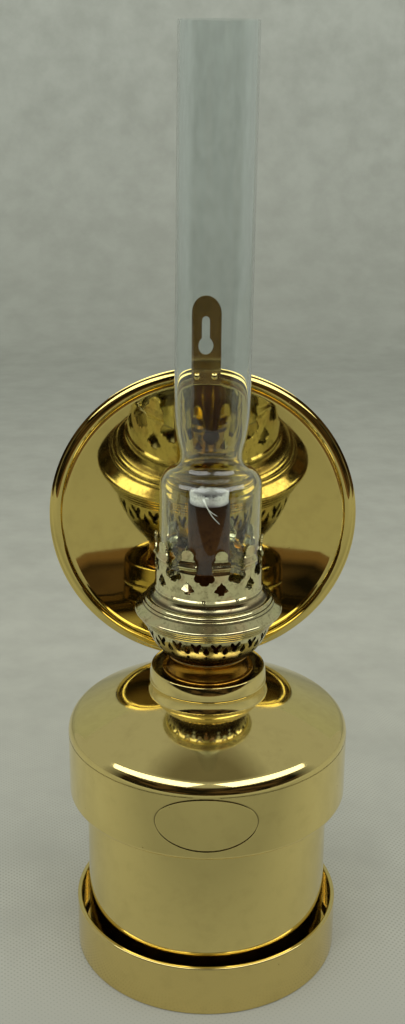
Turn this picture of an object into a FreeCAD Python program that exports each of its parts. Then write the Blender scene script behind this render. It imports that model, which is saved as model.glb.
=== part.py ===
"""Wall-or-table ship's oil lamp in brass: base cup, lift-out font, round-wick burner, chimney, reflector.

Frame: millimetres, +Z up, origin at the centre of the base cup's underside. The lamp's front faces -Y
and the reflector stands behind it at +Y. Every driving size is a cell of the sheet "sizes".
"""
import FreeCAD, Part
import math
import os
import re
import Sketcher

SIZES = {
    # base cup
    "cup_radius": 63.9,
    "cup_height": 25.4,
    "cup_wall": 2.2,
    "cup_floor": 2.3,
    "cup_edge": 0.8,
    "cup_cove": 1.5,
    # font: lower drum, upper body, collar
    "seat_gap": 0.05,
    "solder_gap": 0.08,
    "font_sheet": 0.9,
    "drum_radius": 57.9,
    "drum_height": 81.65,
    "drum_corner": 1.8,
    "drum_lap": 2.5,
    "body_radius": 66.1,
    "body_height": 31.6,
    "body_corner": 2.2,
    "shoulder_edge": 8.2,
    "shoulder_slope": 27.0,
    "shoulder_dome": 160.0,
    "shoulder_cove": 3.0,
    "collar_radius": 27.2,
    "collar_height": 10.3,
    "collar_wall": 1.9,
    "collar_skirt": 0.77,
    "collar_web": 1.2,
    "collar_recess": 4.0,
    "collar_seat": 2.1,
    "thread_radius": 19.45,
    "thread_length": 7.4,
    "thread_clearance": 0.1,
    "thread_sleeve": 1.1,
    # burner: threaded ring, neck, pierced basket
    "ring_radius": 21.35,
    "ring_thickness": 1.6,
    "ring_bore": 18.2,
    "neck_foot_radius": 19.5,
    "neck_head_radius": 19.1,
    "neck_height": 7.8,
    "neck_cove": 9.0,
    "neck_bead": 0.7,
    "burner_sheet": 0.7,
    "basket_foot_radius": 19.5,
    "basket_top_radius": 29.3,
    "basket_height": 16.4,
    "basket_bow": 28.0,
    "basket_foot_width": 3.0,
    "basket_count": 20,
    "basket_turn": -4.0,
    "fork_width": 4.5,
    "fork_height": 4.9,
    "fork_stem": 1.9,
    "fork_drop": 1.4,
    "leaf_width": 2.5,
    "leaf_height": 4.4,
    "leaf_drop": 2.8,
    "lozenge_size": 1.6,
    "lozenge_drop": 8.3,
    # gallery flange and crown
    "flange_radius": 33.95,
    "flange_edge": 1.06,
    "flange_skirt": 4.2,
    "flange_reeds": 3,
    "flange_top": 8.65,
    "flange_bead_radius": 30.1,
    "low_bead_run": 0.9,
    "low_bead_rise": 1.25,
    "high_bead_run": 1.6,
    "high_bead_rise": 1.75,
    "throat_radius": 24.75,
    "throat_height": 15.9,
    "throat_cove": 4.2,
    "throat_lip": 0.5,
    "crown_radius": 24.5,
    "crown_sheet": 0.6,
    "crown_height": 25.3,
    "crown_spigot": 2.4,
    "crown_bead": 0.65,
    "crown_count": 10,
    "crown_turn": 11.2,
    "prong_ridge_height": 16.4,
    "prong_groove_bow": 3.5,
    "prong_groove_rise": 4.5,
    "prong_lean": 0.1,
    "prong_ridge_width": 9.4,
    "prong_head_width": 6.6,
    "notch_floor": 9.0,
    "notch_foot_height": 1.5,
    "notch_side_height": 3.9,
    "notch_groove_height": 4.2,
    "notch_head_height": 6.0,
    "notch_head_flare": 2.2,
    "spade_width": 6.9,
    "spade_height": 6.4,
    "spade_floor": 4.2,
    "seat_tab_width": 3.2,
    "seat_tab_reach": 3.3,
    "seat_tab_height": 13.4,
    # wick, its tubes and its winder
    "wick_tube_radius": 9.45,
    "tube_sheet": 0.5,
    "wick_tube_height": 73.6,
    "wick_tube_foot": 6.4,
    "wick_thickness": 2.0,
    "wick_play": 0.1,
    "wick_proud": 4.6,
    "wick_drop": 208.0,
    "wick_slit": 7.4,
    "wick_travel_down": 10.0,
    "duct_width": 6.4,
    "duct_height": 10.0,
    "duct_sill": 2.6,
    "duct_reach": 0.6,
    "wheel_radius": 4.6,
    "wheel_thickness": 1.2,
    "wheel_spacing": 6.0,
    "wheel_teeth": 14,
    "tooth_depth": 0.7,
    "shaft_radius": 1.15,
    "shaft_height": 5.6,
    "shaft_length": 54.0,
    "shaft_tail": 1.4,
    "shaft_bevel": 0.2,
    "bearing_clearance": 0.08,
    "bracket_sheet": 0.6,
    "bracket_width": 4.6,
    "bracket_clearance": 0.3,
    "bracket_height": 8.4,
    "sleeve_radius": 2.1,
    "sleeve_length": 11.0,
    "knob_radius": 8.5,
    "knob_rim": 3.4,
    "knob_web": 1.0,
    "knob_hub": 2.6,
    "knob_flutes": 24,
    "flute_radius": 0.55,
    # glass chimney
    "bulb_radius": 23.0,
    "bulb_height": 35.0,
    "bulb_round": 7.5,
    "waist_radius": 14.0,
    "waist_rise": 13.1,
    "flare_round": 18.0,
    "flare_rise": 22.4,
    "chimney_radius": 16.8,
    "chimney_height": 229.6,
    "glass_wall": 1.5,
    # reflector, hanging tab, back strap and their fasteners
    "mirror_distance": 86.0,
    "mirror_height": 192.6,
    "mirror_radius": 79.0,
    "mirror_curve": 350.0,
    "mirror_sheet": 0.8,
    "rim_width": 9.0,
    "rim_height": 3.2,
    "rim_bead": 1.5,
    "tab_width": 18.0,
    "tab_sheet": 1.2,
    "tab_bottom": 71.5,
    "tab_top": 115.6,
    "keyhole_radius": 4.4,
    "keyhole_slot": 4.65,
    "keyhole_rise": 91.0,
    "keyhole_reach": 14.6,
    "tab_rivet_spacing": 10.5,
    "tab_rivet_rise": 75.3,
    "rim_grip": 3.15,
    "small_rivet_head": 2.0,
    "small_rivet_shank": 1.1,
    "strap_width": 20.0,
    "strap_sheet": 2.0,
    "strap_foot": 2.6,
    "strap_joggle": 5.0,
    "strap_knee": 84.0,
    "strap_above": 13.0,
    "strap_rivet_low": 8.0,
    "strap_rivet_spacing": 11.0,
    "big_rivet_head": 2.8,
    "big_rivet_shank": 1.5,
    "rivet_fit": 0.1,
    "dome_height": 1.25,
    "screw_radius": 1.9,
    "screw_head": 3.7,
    "screw_spare": 1.0,
    "nut_flats": 7.0,
    "nut_height": 3.2,
}

doc = FreeCAD.newDocument("ship_lamp")
sheet = doc.addObject("Spreadsheet::Sheet", "sizes")
for row, (alias, number) in enumerate(SIZES.items(), start=1):
    sheet.set(f"A{row}", alias)
    sheet.set(f"B{row}", str(number))
    sheet.setAlias(f"B{row}", alias)
doc.recompute()

ALIAS = re.compile(r"\b(" + "|".join(sorted(SIZES, key=len, reverse=True)) + r")\b")
XZ, YZ, XY = "XZ_Plane", "YZ_Plane", "XY_Plane"
bodies = []


# ---------------------------------------------------------------- heights that several pieces share

FONT_FLOOR = "(cup_floor + seat_gap)"
STEP = f"({FONT_FLOOR} + drum_height)"
BODY_TOP = f"({STEP} + body_height)"
DOME_TURN = "((90 - shoulder_slope) * 1 deg)"
DOME_X = f"(body_radius - shoulder_edge - (shoulder_dome - shoulder_edge) * cos({DOME_TURN}))"
DOME_Z = f"({BODY_TOP} - (shoulder_dome - shoulder_edge) * sin({DOME_TURN}))"
FONT_NECK = "(collar_radius - collar_skirt - solder_gap)"
COVE_X = f"({FONT_NECK} + shoulder_cove)"
COVE_REACH = "(shoulder_dome + shoulder_cove)"
COVE_Z = f"({DOME_Z} + sqrt({COVE_REACH} * {COVE_REACH} - ({COVE_X} - {DOME_X}) * ({COVE_X} - {DOME_X})))"
COLLAR_FOOT = f"({COVE_Z} - shoulder_cove / 6)"
COLLAR_TOP = f"({COLLAR_FOOT} + collar_height)"
COLLAR_FLOOR = f"({COLLAR_TOP} - collar_recess)"
COLLAR_SEAT = f"({COLLAR_TOP} - collar_seat)"
RING_TOP = f"({COLLAR_SEAT} + seat_gap + ring_thickness)"
NECK_FOOT = f"({RING_TOP} + solder_gap)"
NECK_TOP = f"({NECK_FOOT} + neck_height)"
BASKET_FOOT = f"({NECK_TOP} + solder_gap)"
BASKET_TOP = f"({BASKET_FOOT} + basket_height)"
SKIRT_FOOT = f"({BASKET_TOP} + solder_gap)"
THROAT_TOP = f"({SKIRT_FOOT} + throat_height)"
CROWN_FOOT = f"({THROAT_TOP} + solder_gap)"
CROWN_TOP = f"({CROWN_FOOT} + crown_height)"
GLASS_FOOT = f"({CROWN_FOOT} + seat_tab_height + seat_gap)"
TUBE_TOP = f"({NECK_TOP} + wick_tube_height - neck_bead)"
WICK_OUTSIDE = "(wick_tube_radius - tube_sheet - wick_play)"
AIR_TUBE_OUTSIDE = f"({WICK_OUTSIDE} - wick_thickness - wick_play)"
SHAFT_Z = f"({NECK_TOP} + shaft_height)"
WHEEL_INSIDE = "((wheel_spacing - wheel_thickness) / 2)"
SHAFT_X = (f"(sqrt({WICK_OUTSIDE} * {WICK_OUTSIDE} - {WHEEL_INSIDE} * {WHEEL_INSIDE})"
           " + wheel_radius + wick_play)")
EAR_OUTSIDE = "(wheel_spacing / 2 + wheel_thickness + bracket_clearance + bracket_sheet)"
SHAFT_START = f"({EAR_OUTSIDE} + shaft_tail)"
MIRROR_BACK = "(mirror_distance + mirror_sheet)"
DISH_RADIUS = "(mirror_radius - rim_width - rim_bead)"


# ---------------------------------------------------------------- drawing tools

def bound(text):
    """Expression with each size's name pointing at its cell."""
    return ALIAS.sub(r"sizes.\1", text)


def value(text):
    """Number that an expression has now."""
    result = sheet.evalExpression(text)
    return float(getattr(result, "Value", result))


def new_body(label):
    body = doc.addObject("PartDesign::Body", label)
    body.Label = label
    bodies.append(body)
    return body


def plane(body, role):
    return next(item for item in body.Origin.OriginFeatures if item.Role == role)


def new_sketch(body, name, role, lift=None, turn=None):
    """Sketch on one of the body's own planes, lifted off it and turned about its upright axis."""
    sketch = body.newObject("Sketcher::SketchObject", name)
    sketch.AttachmentSupport = (plane(body, role), [""])
    sketch.MapMode = "FlatFace"
    if turn is not None:
        upright = FreeCAD.Vector(0, 1, 0)
        sketch.AttachmentOffset = FreeCAD.Placement(FreeCAD.Vector(), FreeCAD.Rotation(upright, value(turn)))
        sketch.setExpression("AttachmentOffset.Rotation.Angle", bound(turn))
    if lift is not None:
        sketch.setExpression("AttachmentOffset.Base.z", bound(lift))
    return sketch


def arc_geometry(start, end, radius, turn):
    """Arc from start to end: its centre lies to the left of the way when turn is left."""
    chord = end - start
    side = 1 if turn == "left" else -1
    normal = FreeCAD.Vector(-chord.y, chord.x, 0).normalize() * side
    height = math.sqrt(max(radius ** 2 - (chord.Length / 2) ** 2, 0))
    centre = (start + end) * 0.5 + normal * height
    first, last = (start, end) if turn == "left" else (end, start)
    angles = [math.atan2(point.y - centre.y, point.x - centre.x) for point in (first, last)]
    circle = Part.Circle(centre, FreeCAD.Vector(0, 0, 1), radius)
    return Part.ArcOfCircle(circle, angles[0], angles[1])


def draw(sketch, points):
    """Closed outline. A point is (across, up), or (across, up, radius, turn) when an arc arrives at it."""
    places = [FreeCAD.Vector(value(point[0]), value(point[1]), 0) for point in points]
    first = sketch.GeometryCount
    geometry, start_vertex, end_vertex = [], [], []
    for index, point in enumerate(points):
        start, end = places[index - 1], places[index]
        if len(point) == 2:
            geometry.append(Part.LineSegment(start, end))
            order = (1, 2)
        else:
            geometry.append(arc_geometry(start, end, value(point[2]), point[3]))
            order = (1, 2) if point[3] == "left" else (2, 1)
        start_vertex.append(order[0])
        end_vertex.append(order[1])
    sketch.addGeometry(geometry, False)
    constraints, bindings = [], []
    base = sketch.ConstraintCount
    count = len(points)
    for index, point in enumerate(points):
        edge, following = first + index, first + (index + 1) % count
        vertex = end_vertex[index]
        after = start_vertex[(index + 1) % count]
        constraints.append(Sketcher.Constraint("Coincident", edge, vertex, following, after))
        for kind, text, place in zip(("DistanceX", "DistanceY"), point[:2], places[index]):
            bindings.append((base + len(constraints), text))
            constraints.append(Sketcher.Constraint(kind, -1, 1, edge, vertex, place))
        if len(point) > 2:
            bindings.append((base + len(constraints), point[2]))
            constraints.append(Sketcher.Constraint("Radius", edge, value(point[2])))
    sketch.addConstraint(constraints)
    for number, text in bindings:
        if not re.fullmatch(r"[-\d.]+", text):
            sketch.setExpression(f"Constraints[{number}]", bound(text))


def draw_circle(sketch, across, up, radius):
    centre = FreeCAD.Vector(value(across), value(up), 0)
    edge = sketch.addGeometry(Part.Circle(centre, FreeCAD.Vector(0, 0, 1), value(radius)), False)
    base = sketch.ConstraintCount
    sketch.addConstraint([
        Sketcher.Constraint("DistanceX", -1, 1, edge, 3, centre.x),
        Sketcher.Constraint("DistanceY", -1, 1, edge, 3, centre.y),
        Sketcher.Constraint("Radius", edge, value(radius)),
    ])
    for offset, text in enumerate((across, up, radius)):
        if not re.fullmatch(r"[-\d.]+", text):
            sketch.setExpression(f"Constraints[{base + offset}]", bound(text))


def backwards(points):
    """The same path walked the other way: arcs turn the other way and move to their other end."""
    turned_round = []
    for index in range(len(points) - 1, -1, -1):
        place = points[index][:2]
        arc = points[index + 1][2:] if index + 1 < len(points) else ()
        if arc:
            arc = (arc[0], "right" if arc[1] == "left" else "left")
        turned_round.append(place + tuple(arc))
    return turned_round


def wall(skin, thickness):
    """Outline of a sheet wall: its outer skin one way, its inner skin the other."""
    return skin("0") + backwards(skin(thickness))


def mirrored(points):
    """Closed outline that is alike on both sides of the sketch's upright axis, from its right half."""
    left = [(f"-({point[0]})",) + tuple(point[1:]) for point in points]
    if left[0][0] == "-(0)":
        left = left[1:]
        lead = 1
    else:
        lead = 0
    if left and left[-1][0] == "-(0)":
        left = left[:-1]
    flipped = []
    for index in range(len(left) - 1, -1, -1):
        source = points[index + lead + 1] if index + lead + 1 < len(points) else ()
        flipped.append(left[index][:2] + tuple(source[2:]))
    result = list(points) + flipped
    if lead and len(points[1]) > 2:
        result[0] = points[0][:2] + tuple(points[1][2:])
    return result


def revolve(body, points, name="turning"):
    """Solid turned about the body's upright axis."""
    sketch = new_sketch(body, f"{name}_outline", XZ)
    draw(sketch, points)
    feature = body.newObject("PartDesign::Revolution", name)
    feature.Profile = sketch
    feature.ReferenceAxis = (sketch, ["V_Axis"])
    feature.Angle = 360
    return feature


def turned(label, points):
    body = new_body(label)
    revolve(body, points)
    return body


def cut_through(body, sketch, name, front=True):
    """Cut from the sketch's plane outwards: towards the front of an XZ sketch, or towards its back."""
    pocket = body.newObject("PartDesign::Pocket", name)
    pocket.Profile = sketch
    pocket.Type = 1
    pocket.Reversed = front
    return pocket


def cut_to(body, sketch, name, depth, front=True):
    pocket = cut_through(body, sketch, name, front)
    pocket.Type = 0
    pocket.setExpression("Length", bound(depth))
    return pocket


def pad(body, sketch, name, length, midplane=False, backwards_pad=False):
    feature = body.newObject("PartDesign::Pad", name)
    feature.Profile = sketch
    feature.Midplane = midplane
    feature.Reversed = backwards_pad
    feature.setExpression("Length", bound(length))
    return feature


def around(body, originals, count, name="pattern"):
    """Repeat features about the body's upright axis."""
    pattern = body.newObject("PartDesign::PolarPattern", name)
    pattern.Originals = originals
    pattern.Axis = (plane(body, "Z_Axis"), [""])
    pattern.Angle = 360
    pattern.setExpression("Occurrences", bound(count))
    body.Tip = pattern
    return pattern


def place(item, x="0", y="0", z="0", tilt=0.0):
    """Put a piece in the lamp, tilted about X by quarter turns."""
    spot = FreeCAD.Vector(value(x), value(y), value(z))
    item.Placement = FreeCAD.Placement(spot, FreeCAD.Rotation(FreeCAD.Vector(1, 0, 0), tilt))
    for letter, text in zip("xyz", (x, y, z)):
        if text != "0":
            item.setExpression(f"Placement.Base.{letter}", bound(text))


def dome_head(radius, height):
    """Radius of the sphere that a domed head is cut from."""
    return f"(({radius} * {radius} + {height} * {height}) / (2 * {height}))"


def rivet(body, head, shank, grip, height):
    """Rivet along the body's upright axis: domed heads at both ends of its grip."""
    dome = dome_head(head, height)
    revolve(body, [
        ("0", f"-({height})"),
        (head, "0", dome, "left"),
        (shank, "0"),
        (shank, grip),
        (head, grip),
        ("0", f"{grip} + {height}", dome, "left"),
    ])


# ---------------------------------------------------------------- base cup

def base_cup():
    inside = "(cup_radius - cup_wall)"
    body = turned("base_cup", [
        ("0", "0"),
        ("cup_radius - cup_edge", "0"),
        ("cup_radius", "cup_edge", "cup_edge", "left"),
        ("cup_radius", "cup_height - cup_edge"),
        ("cup_radius - cup_edge", "cup_height", "cup_edge", "left"),
        (f"{inside} + cup_edge", "cup_height"),
        (inside, "cup_height - cup_edge", "cup_edge", "left"),
        (inside, "cup_floor + cup_cove"),
        (f"{inside} - cup_cove", "cup_floor", "cup_cove", "right"),
        ("0", "cup_floor"),
    ])
    holes = new_sketch(body, "rivet_holes", XZ)
    for rise in ("strap_rivet_low", "strap_rivet_low + strap_rivet_spacing"):
        draw_circle(holes, "0", rise, "big_rivet_shank + rivet_fit")
    cut_through(body, holes, "rivet_holes_cut", front=False)


# ---------------------------------------------------------------- font

def font_drum():
    top = f"({STEP} + font_sheet + drum_lap)"

    def skin(depth):
        return [
            ("0", f"{FONT_FLOOR} + {depth}"),
            ("drum_radius - drum_corner", f"{FONT_FLOOR} + {depth}"),
            (f"drum_radius - {depth}", f"{FONT_FLOOR} + drum_corner", f"drum_corner - {depth}", "left"),
            (f"drum_radius - {depth}", top),
        ]

    turned("font_drum", wall(skin, "font_sheet"))


def font_top():
    """Spun upper body: turned-in foot, straight side, rounded edge, domed shoulder, cove and neck."""
    def skin(depth):
        dome = f"(shoulder_dome - {depth})"
        joint = f"({dome} / {COVE_REACH})"
        return [
            ("drum_radius + solder_gap", f"{STEP} + {depth}"),
            ("body_radius - body_corner", f"{STEP} + {depth}"),
            (f"body_radius - {depth}", f"{STEP} + body_corner", f"body_corner - {depth}", "left"),
            (f"body_radius - {depth}", BODY_TOP),
            (f"{DOME_X} + {dome} * cos({DOME_TURN})", f"{DOME_Z} + {dome} * sin({DOME_TURN})",
             f"shoulder_edge - {depth}", "left"),
            (f"{DOME_X} + {joint} * ({COVE_X} - {DOME_X})", f"{DOME_Z} + {joint} * ({COVE_Z} - {DOME_Z})",
             dome, "left"),
            (f"{FONT_NECK} - {depth}", COVE_Z, f"shoulder_cove + {depth}", "right"),
            (f"{FONT_NECK} - {depth}", f"{COLLAR_FLOOR} - collar_web - solder_gap"),
        ]

    turned("font_top", wall(skin, "font_sheet"))


def font_collar():
    """Soldered collar: outer band with a round rim, recessed web, seat and threaded sleeve."""
    round_rim = "(collar_wall / 2)"
    sleeve = "(thread_radius + thread_clearance)"
    turned("font_collar", [
        ("collar_radius", COLLAR_FOOT),
        ("collar_radius", f"{COLLAR_TOP} - {round_rim}"),
        (f"collar_radius - {round_rim}", COLLAR_TOP, round_rim, "left"),
        ("collar_radius - collar_wall", f"{COLLAR_TOP} - {round_rim}", round_rim, "left"),
        ("collar_radius - collar_wall", COLLAR_FLOOR),
        (f"{sleeve} + 2 * thread_sleeve", COLLAR_FLOOR),
        (f"{sleeve} + 2 * thread_sleeve", COLLAR_SEAT),
        (sleeve, COLLAR_SEAT),
        (sleeve, f"{COLLAR_SEAT} - thread_length - thread_sleeve"),
        (f"{sleeve} + thread_sleeve", f"{COLLAR_SEAT} - thread_length - thread_sleeve"),
        (f"{sleeve} + thread_sleeve", f"{COLLAR_FLOOR} - collar_web"),
        ("collar_radius - collar_skirt", f"{COLLAR_FLOOR} - collar_web"),
        ("collar_radius - collar_skirt", COLLAR_FOOT),
    ])


# ---------------------------------------------------------------- burner body

def burner_ring():
    """Threaded ring that screws into the collar, with a round-edged flange on top."""
    half = "(ring_thickness / 2)"
    turned("burner_ring", [
        ("ring_bore", f"{COLLAR_SEAT} - thread_length"),
        ("thread_radius", f"{COLLAR_SEAT} - thread_length"),
        ("thread_radius", f"{RING_TOP} - ring_thickness"),
        (f"ring_radius - {half}", f"{RING_TOP} - ring_thickness"),
        ("ring_radius", f"{RING_TOP} - {half}", half, "left"),
        (f"ring_radius - {half}", RING_TOP, half, "left"),
        ("ring_bore", RING_TOP),
    ])


def burner_neck():
    """Waisted neck closed by a plate on top, with a hole for the wick tube."""
    shoulder = f"({NECK_TOP} - 2 * neck_bead)"
    turned("burner_neck", [
        ("neck_foot_radius - burner_sheet", NECK_FOOT),
        ("neck_foot_radius", NECK_FOOT),
        ("neck_head_radius - neck_bead", shoulder, "neck_cove", "right"),
        ("neck_head_radius", f"{NECK_TOP} - neck_bead", "neck_bead", "left"),
        ("neck_head_radius - neck_bead", NECK_TOP, "neck_bead", "left"),
        ("wick_tube_radius + solder_gap", NECK_TOP),
        ("wick_tube_radius + solder_gap", f"{NECK_TOP} - burner_sheet"),
        ("neck_head_radius - neck_bead - burner_sheet", f"{NECK_TOP} - burner_sheet"),
        ("neck_head_radius - neck_bead - burner_sheet", shoulder),
    ])


def basket_centre():
    """Centre of the arc that bows the basket's wall, through its foot and its top."""
    half_x = "((basket_top_radius - basket_foot_radius) / 2)"
    half_z = "(basket_height / 2)"
    half = f"sqrt({half_x} * {half_x} + {half_z} * {half_z})"
    inset = f"sqrt(basket_bow * basket_bow - {half} * {half})"
    x = f"(basket_foot_radius + {half_x} - {inset} * {half_z} / {half})"
    z = f"({BASKET_FOOT} + {half_z} + {inset} * {half_x} / {half})"
    return x, z


def burner_basket():
    """Bowl pierced all round with forks, leaves between them and small lozenges below."""
    centre_x, centre_z = basket_centre()

    def skin(depth):
        keep = f"((basket_bow - {depth}) / basket_bow)"
        return [
            (f"{centre_x} + (basket_foot_radius - {centre_x}) * {keep}",
             f"{centre_z} + ({BASKET_FOOT} - {centre_z}) * {keep}"),
            (f"{centre_x} + (basket_top_radius - {centre_x}) * {keep}",
             f"{centre_z} + ({BASKET_TOP} - {centre_z}) * {keep}",
             f"basket_bow - {depth}", "left"),
        ]

    body = new_body("burner_basket")
    outer, inner = skin("0"), backwards(skin("burner_sheet"))
    inner[0] = (inner[0][0], BASKET_TOP)
    foot_inside = "(basket_foot_radius - basket_foot_width)"
    foot_top = f"{BASKET_FOOT} + burner_sheet"
    revolve(body, outer + inner + [
        (foot_inside, foot_top),
        (foot_inside, BASKET_FOOT),
    ])
    step = "360 / basket_count"
    forks = new_sketch(body, "fork_outline", XZ, turn=f"(basket_turn + {step} / 2) * 1 deg")
    foot = f"({BASKET_TOP} - fork_drop - fork_height)"
    draw(forks, mirrored([
        ("0", foot),
        ("fork_stem / 2", f"{foot} + fork_stem / 3"),
        ("fork_stem / 2", f"{foot} + fork_height * 0.42"),
        ("fork_width / 2", f"{foot} + fork_height * 0.83"),
        ("fork_width / 2 - fork_stem / 7", f"{foot} + fork_height"),
        ("fork_stem * 0.62", f"{foot} + fork_height"),
        ("0", f"{foot} + fork_height * 0.66"),
    ]))
    leaves = new_sketch(body, "leaf_outline", XZ, turn="basket_turn * 1 deg")
    foot = f"({BASKET_TOP} - leaf_drop - leaf_height)"
    draw(leaves, mirrored([
        ("leaf_width / 6", foot),
        ("leaf_width / 2", f"{foot} + leaf_height * 0.17"),
        ("leaf_width / 2.1", f"{foot} + leaf_height * 0.45"),
        ("leaf_width / 5", f"{foot} + leaf_height * 0.72"),
        ("0", f"{foot} + leaf_height"),
    ]))
    lozenges = new_sketch(body, "lozenge_outline", XZ, turn="basket_turn * 1 deg")
    foot = f"({BASKET_TOP} - lozenge_drop - lozenge_size)"
    draw(lozenges, mirrored([
        ("0", foot),
        ("lozenge_size / 2", f"{foot} + lozenge_size / 2"),
        ("0", f"{foot} + lozenge_size"),
    ]))
    cuts = [cut_through(body, outline, f"{outline.Name}_cut") for outline in (forks, leaves, lozenges)]
    around(body, cuts, "basket_count", "piercing")
    hole = new_sketch(body, "sleeve_hole", XZ)
    draw_circle(hole, SHAFT_X, SHAFT_Z, "sleeve_radius + solder_gap")
    cut_through(body, hole, "sleeve_hole_cut", front=False)


# ---------------------------------------------------------------- gallery

def gallery_flange():
    """Spun flange: reeded skirt, rolled edge, sloping top, two beads and a cove up to the throat."""
    sheet_in = "burner_sheet"
    skirt_x = "(basket_top_radius + burner_sheet)"
    edge_x = "(flange_radius - flange_edge)"
    edge_z = f"({SKIRT_FOOT} + flange_skirt)"
    reeds = int(value("flange_reeds"))
    skin = [(skirt_x, SKIRT_FOOT)]
    for reed in range(1, reeds + 1):
        share = f"{reed} / {reeds}"
        skin.append((f"{skirt_x} + ({edge_x} - {skirt_x}) * {share}",
                     f"{SKIRT_FOOT} + flange_skirt * {share}", f"flange_skirt / {reeds}", "left"))
    bead_z = f"({SKIRT_FOOT} + flange_top)"
    low_x, low_z = "(flange_bead_radius - low_bead_run)", f"({bead_z} + low_bead_rise)"
    high_x, high_z = f"({low_x} - high_bead_run)", f"({low_z} + high_bead_rise)"
    skin += [
        (f"{edge_x} + 0.3 * flange_edge", f"{edge_z} + 1.95 * flange_edge", "flange_edge", "left"),
        ("flange_bead_radius", bead_z),
        (low_x, low_z, "0.68 * low_bead_rise", "left"),
        (high_x, high_z, "0.75 * high_bead_rise", "left"),
        ("throat_radius", f"{THROAT_TOP} - throat_lip", "throat_cove", "right"),
        ("throat_radius", THROAT_TOP),
    ]
    inner = [
        (f"throat_radius - {sheet_in}", THROAT_TOP),
        (f"throat_radius - {sheet_in}", f"{THROAT_TOP} - throat_lip - {sheet_in} / 2"),
        (f"{high_x} - {sheet_in}", f"{high_z} - {sheet_in}", f"throat_cove + {sheet_in}", "left"),
        (f"flange_bead_radius - {sheet_in}", f"{bead_z} - {sheet_in} / 2"),
        (f"{edge_x} - {sheet_in} / 2", f"{edge_z} + 1.2 * flange_edge"),
        (f"{edge_x} - {sheet_in}", f"{edge_z} + {sheet_in} / 2"),
        (f"{skirt_x} - {sheet_in}", f"{SKIRT_FOOT} + {sheet_in}"),
        (f"{skirt_x} - 2 * {sheet_in}", f"{SKIRT_FOOT} + {sheet_in}"),
        (f"{skirt_x} - 2 * {sheet_in}", SKIRT_FOOT),
    ]
    turned("gallery_flange", skin + inner)


def gallery_crown():
    """Ring of sprung prongs that grips the glass: spade holes below the prongs, notches between them."""
    ridge = f"({CROWN_FOOT} + prong_ridge_height)"
    bead_x = "(crown_radius + crown_bead * 0.4)"

    def skin(depth):
        return [
            (f"crown_radius - {depth}", f"{CROWN_FOOT} + 2 * crown_bead"),
            (f"crown_radius - {depth}", f"{ridge} - crown_bead"),
            (f"crown_radius - {depth}", f"{ridge} + crown_bead", f"crown_bead * 1.15 - {depth} / 8", "left"),
            (f"crown_radius - {depth} - prong_lean", f"{ridge} + prong_groove_rise",
             f"prong_groove_bow + {depth}", "right"),
            (f"crown_radius - {depth} + 2 * prong_lean", CROWN_TOP,
             f"2 * prong_groove_bow - {depth}", "left"),
        ]

    body = new_body("gallery_crown")
    spigot = "(throat_radius - burner_sheet - solder_gap)"
    foot = [
        (f"{spigot} - crown_sheet", f"{CROWN_FOOT} - crown_spigot"),
        (spigot, f"{CROWN_FOOT} - crown_spigot"),
        (spigot, CROWN_FOOT),
        (bead_x, CROWN_FOOT),
    ]
    outer = skin("0")
    outer[0] = outer[0] + ("crown_bead * 1.1", "left")
    revolve(body, foot + outer + backwards(skin("crown_sheet")))

    half_pitch = "180 / crown_count"
    pitch = "(2 * pi * crown_radius / crown_count)"
    notch = new_sketch(body, "notch_outline", XZ, turn=f"(crown_turn + {half_pitch}) * 1 deg")
    floor = f"({CROWN_FOOT} + notch_floor)"
    ridge_half = f"(({pitch} - prong_ridge_width) / 2)"
    head_half = f"(({pitch} - prong_head_width) / 2)"
    draw(notch, mirrored([
        ("0", floor),
        (f"{ridge_half} * 0.75", f"{floor} + notch_foot_height", "1.07 * notch_foot_height", "left"),
        (f"{ridge_half} * 1.5", f"{floor} + notch_side_height", "0.45 * notch_side_height", "left"),
        (ridge_half, f"{ridge} - crown_bead"),
        (ridge_half, f"{ridge} + crown_bead"),
        (f"{ridge_half} + crown_bead / 2", f"{ridge} + 1.5 * crown_bead"),
        (f"{head_half} - crown_bead * 0.6", f"{ridge} + notch_groove_height",
         "0.55 * notch_groove_height", "right"),
        (head_half, f"{ridge} + notch_head_height"),
        (f"{head_half} + notch_head_flare", f"{CROWN_TOP} + prong_lean", "1.55 * notch_head_flare", "right"),
        (f"{head_half} + notch_head_flare", f"{CROWN_TOP} + notch_head_flare"),
    ]))
    spade = new_sketch(body, "spade_outline", XZ, turn="crown_turn * 1 deg")
    floor = f"({CROWN_FOOT} + spade_floor)"
    half = "(spade_width / 2)"
    draw(spade, mirrored([
        (f"{half} * 0.42", floor),
        (f"{half} * 0.45", f"{floor} + spade_height * 0.16"),
        (half, f"{floor} + spade_height * 0.26"),
        (f"{half} * 0.66", f"{floor} + spade_height * 0.5", "spade_height / 4", "left"),
        (f"{half} * 0.22", f"{floor} + spade_height * 0.8", "spade_height / 3", "left"),
        ("0", f"{floor} + spade_height"),
    ]))
    tab = new_sketch(body, "seat_tab_outline", XZ, turn="crown_turn * 1 deg")
    tab.setExpression("AttachmentOffset.Base.x",
                      bound("sin(crown_turn * 1 deg) * (crown_radius - crown_sheet / 2 - seat_tab_reach)"))
    tab.setExpression("AttachmentOffset.Base.z",
                      bound("cos(crown_turn * 1 deg) * (crown_radius - crown_sheet / 2 - seat_tab_reach)"))
    top = f"({CROWN_FOOT} + seat_tab_height)"
    draw(tab, mirrored([
        ("seat_tab_width / 2", f"{top} - crown_sheet"),
        ("seat_tab_width / 2", top),
    ]))
    tab_pad = pad(body, tab, "seat_tab", "seat_tab_reach")
    cuts = [cut_through(body, outline, f"{outline.Name}_cut") for outline in (spade, notch)]
    around(body, [tab_pad] + cuts, "crown_count", "prongs")


# ---------------------------------------------------------------- wick, tubes and winder

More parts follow.
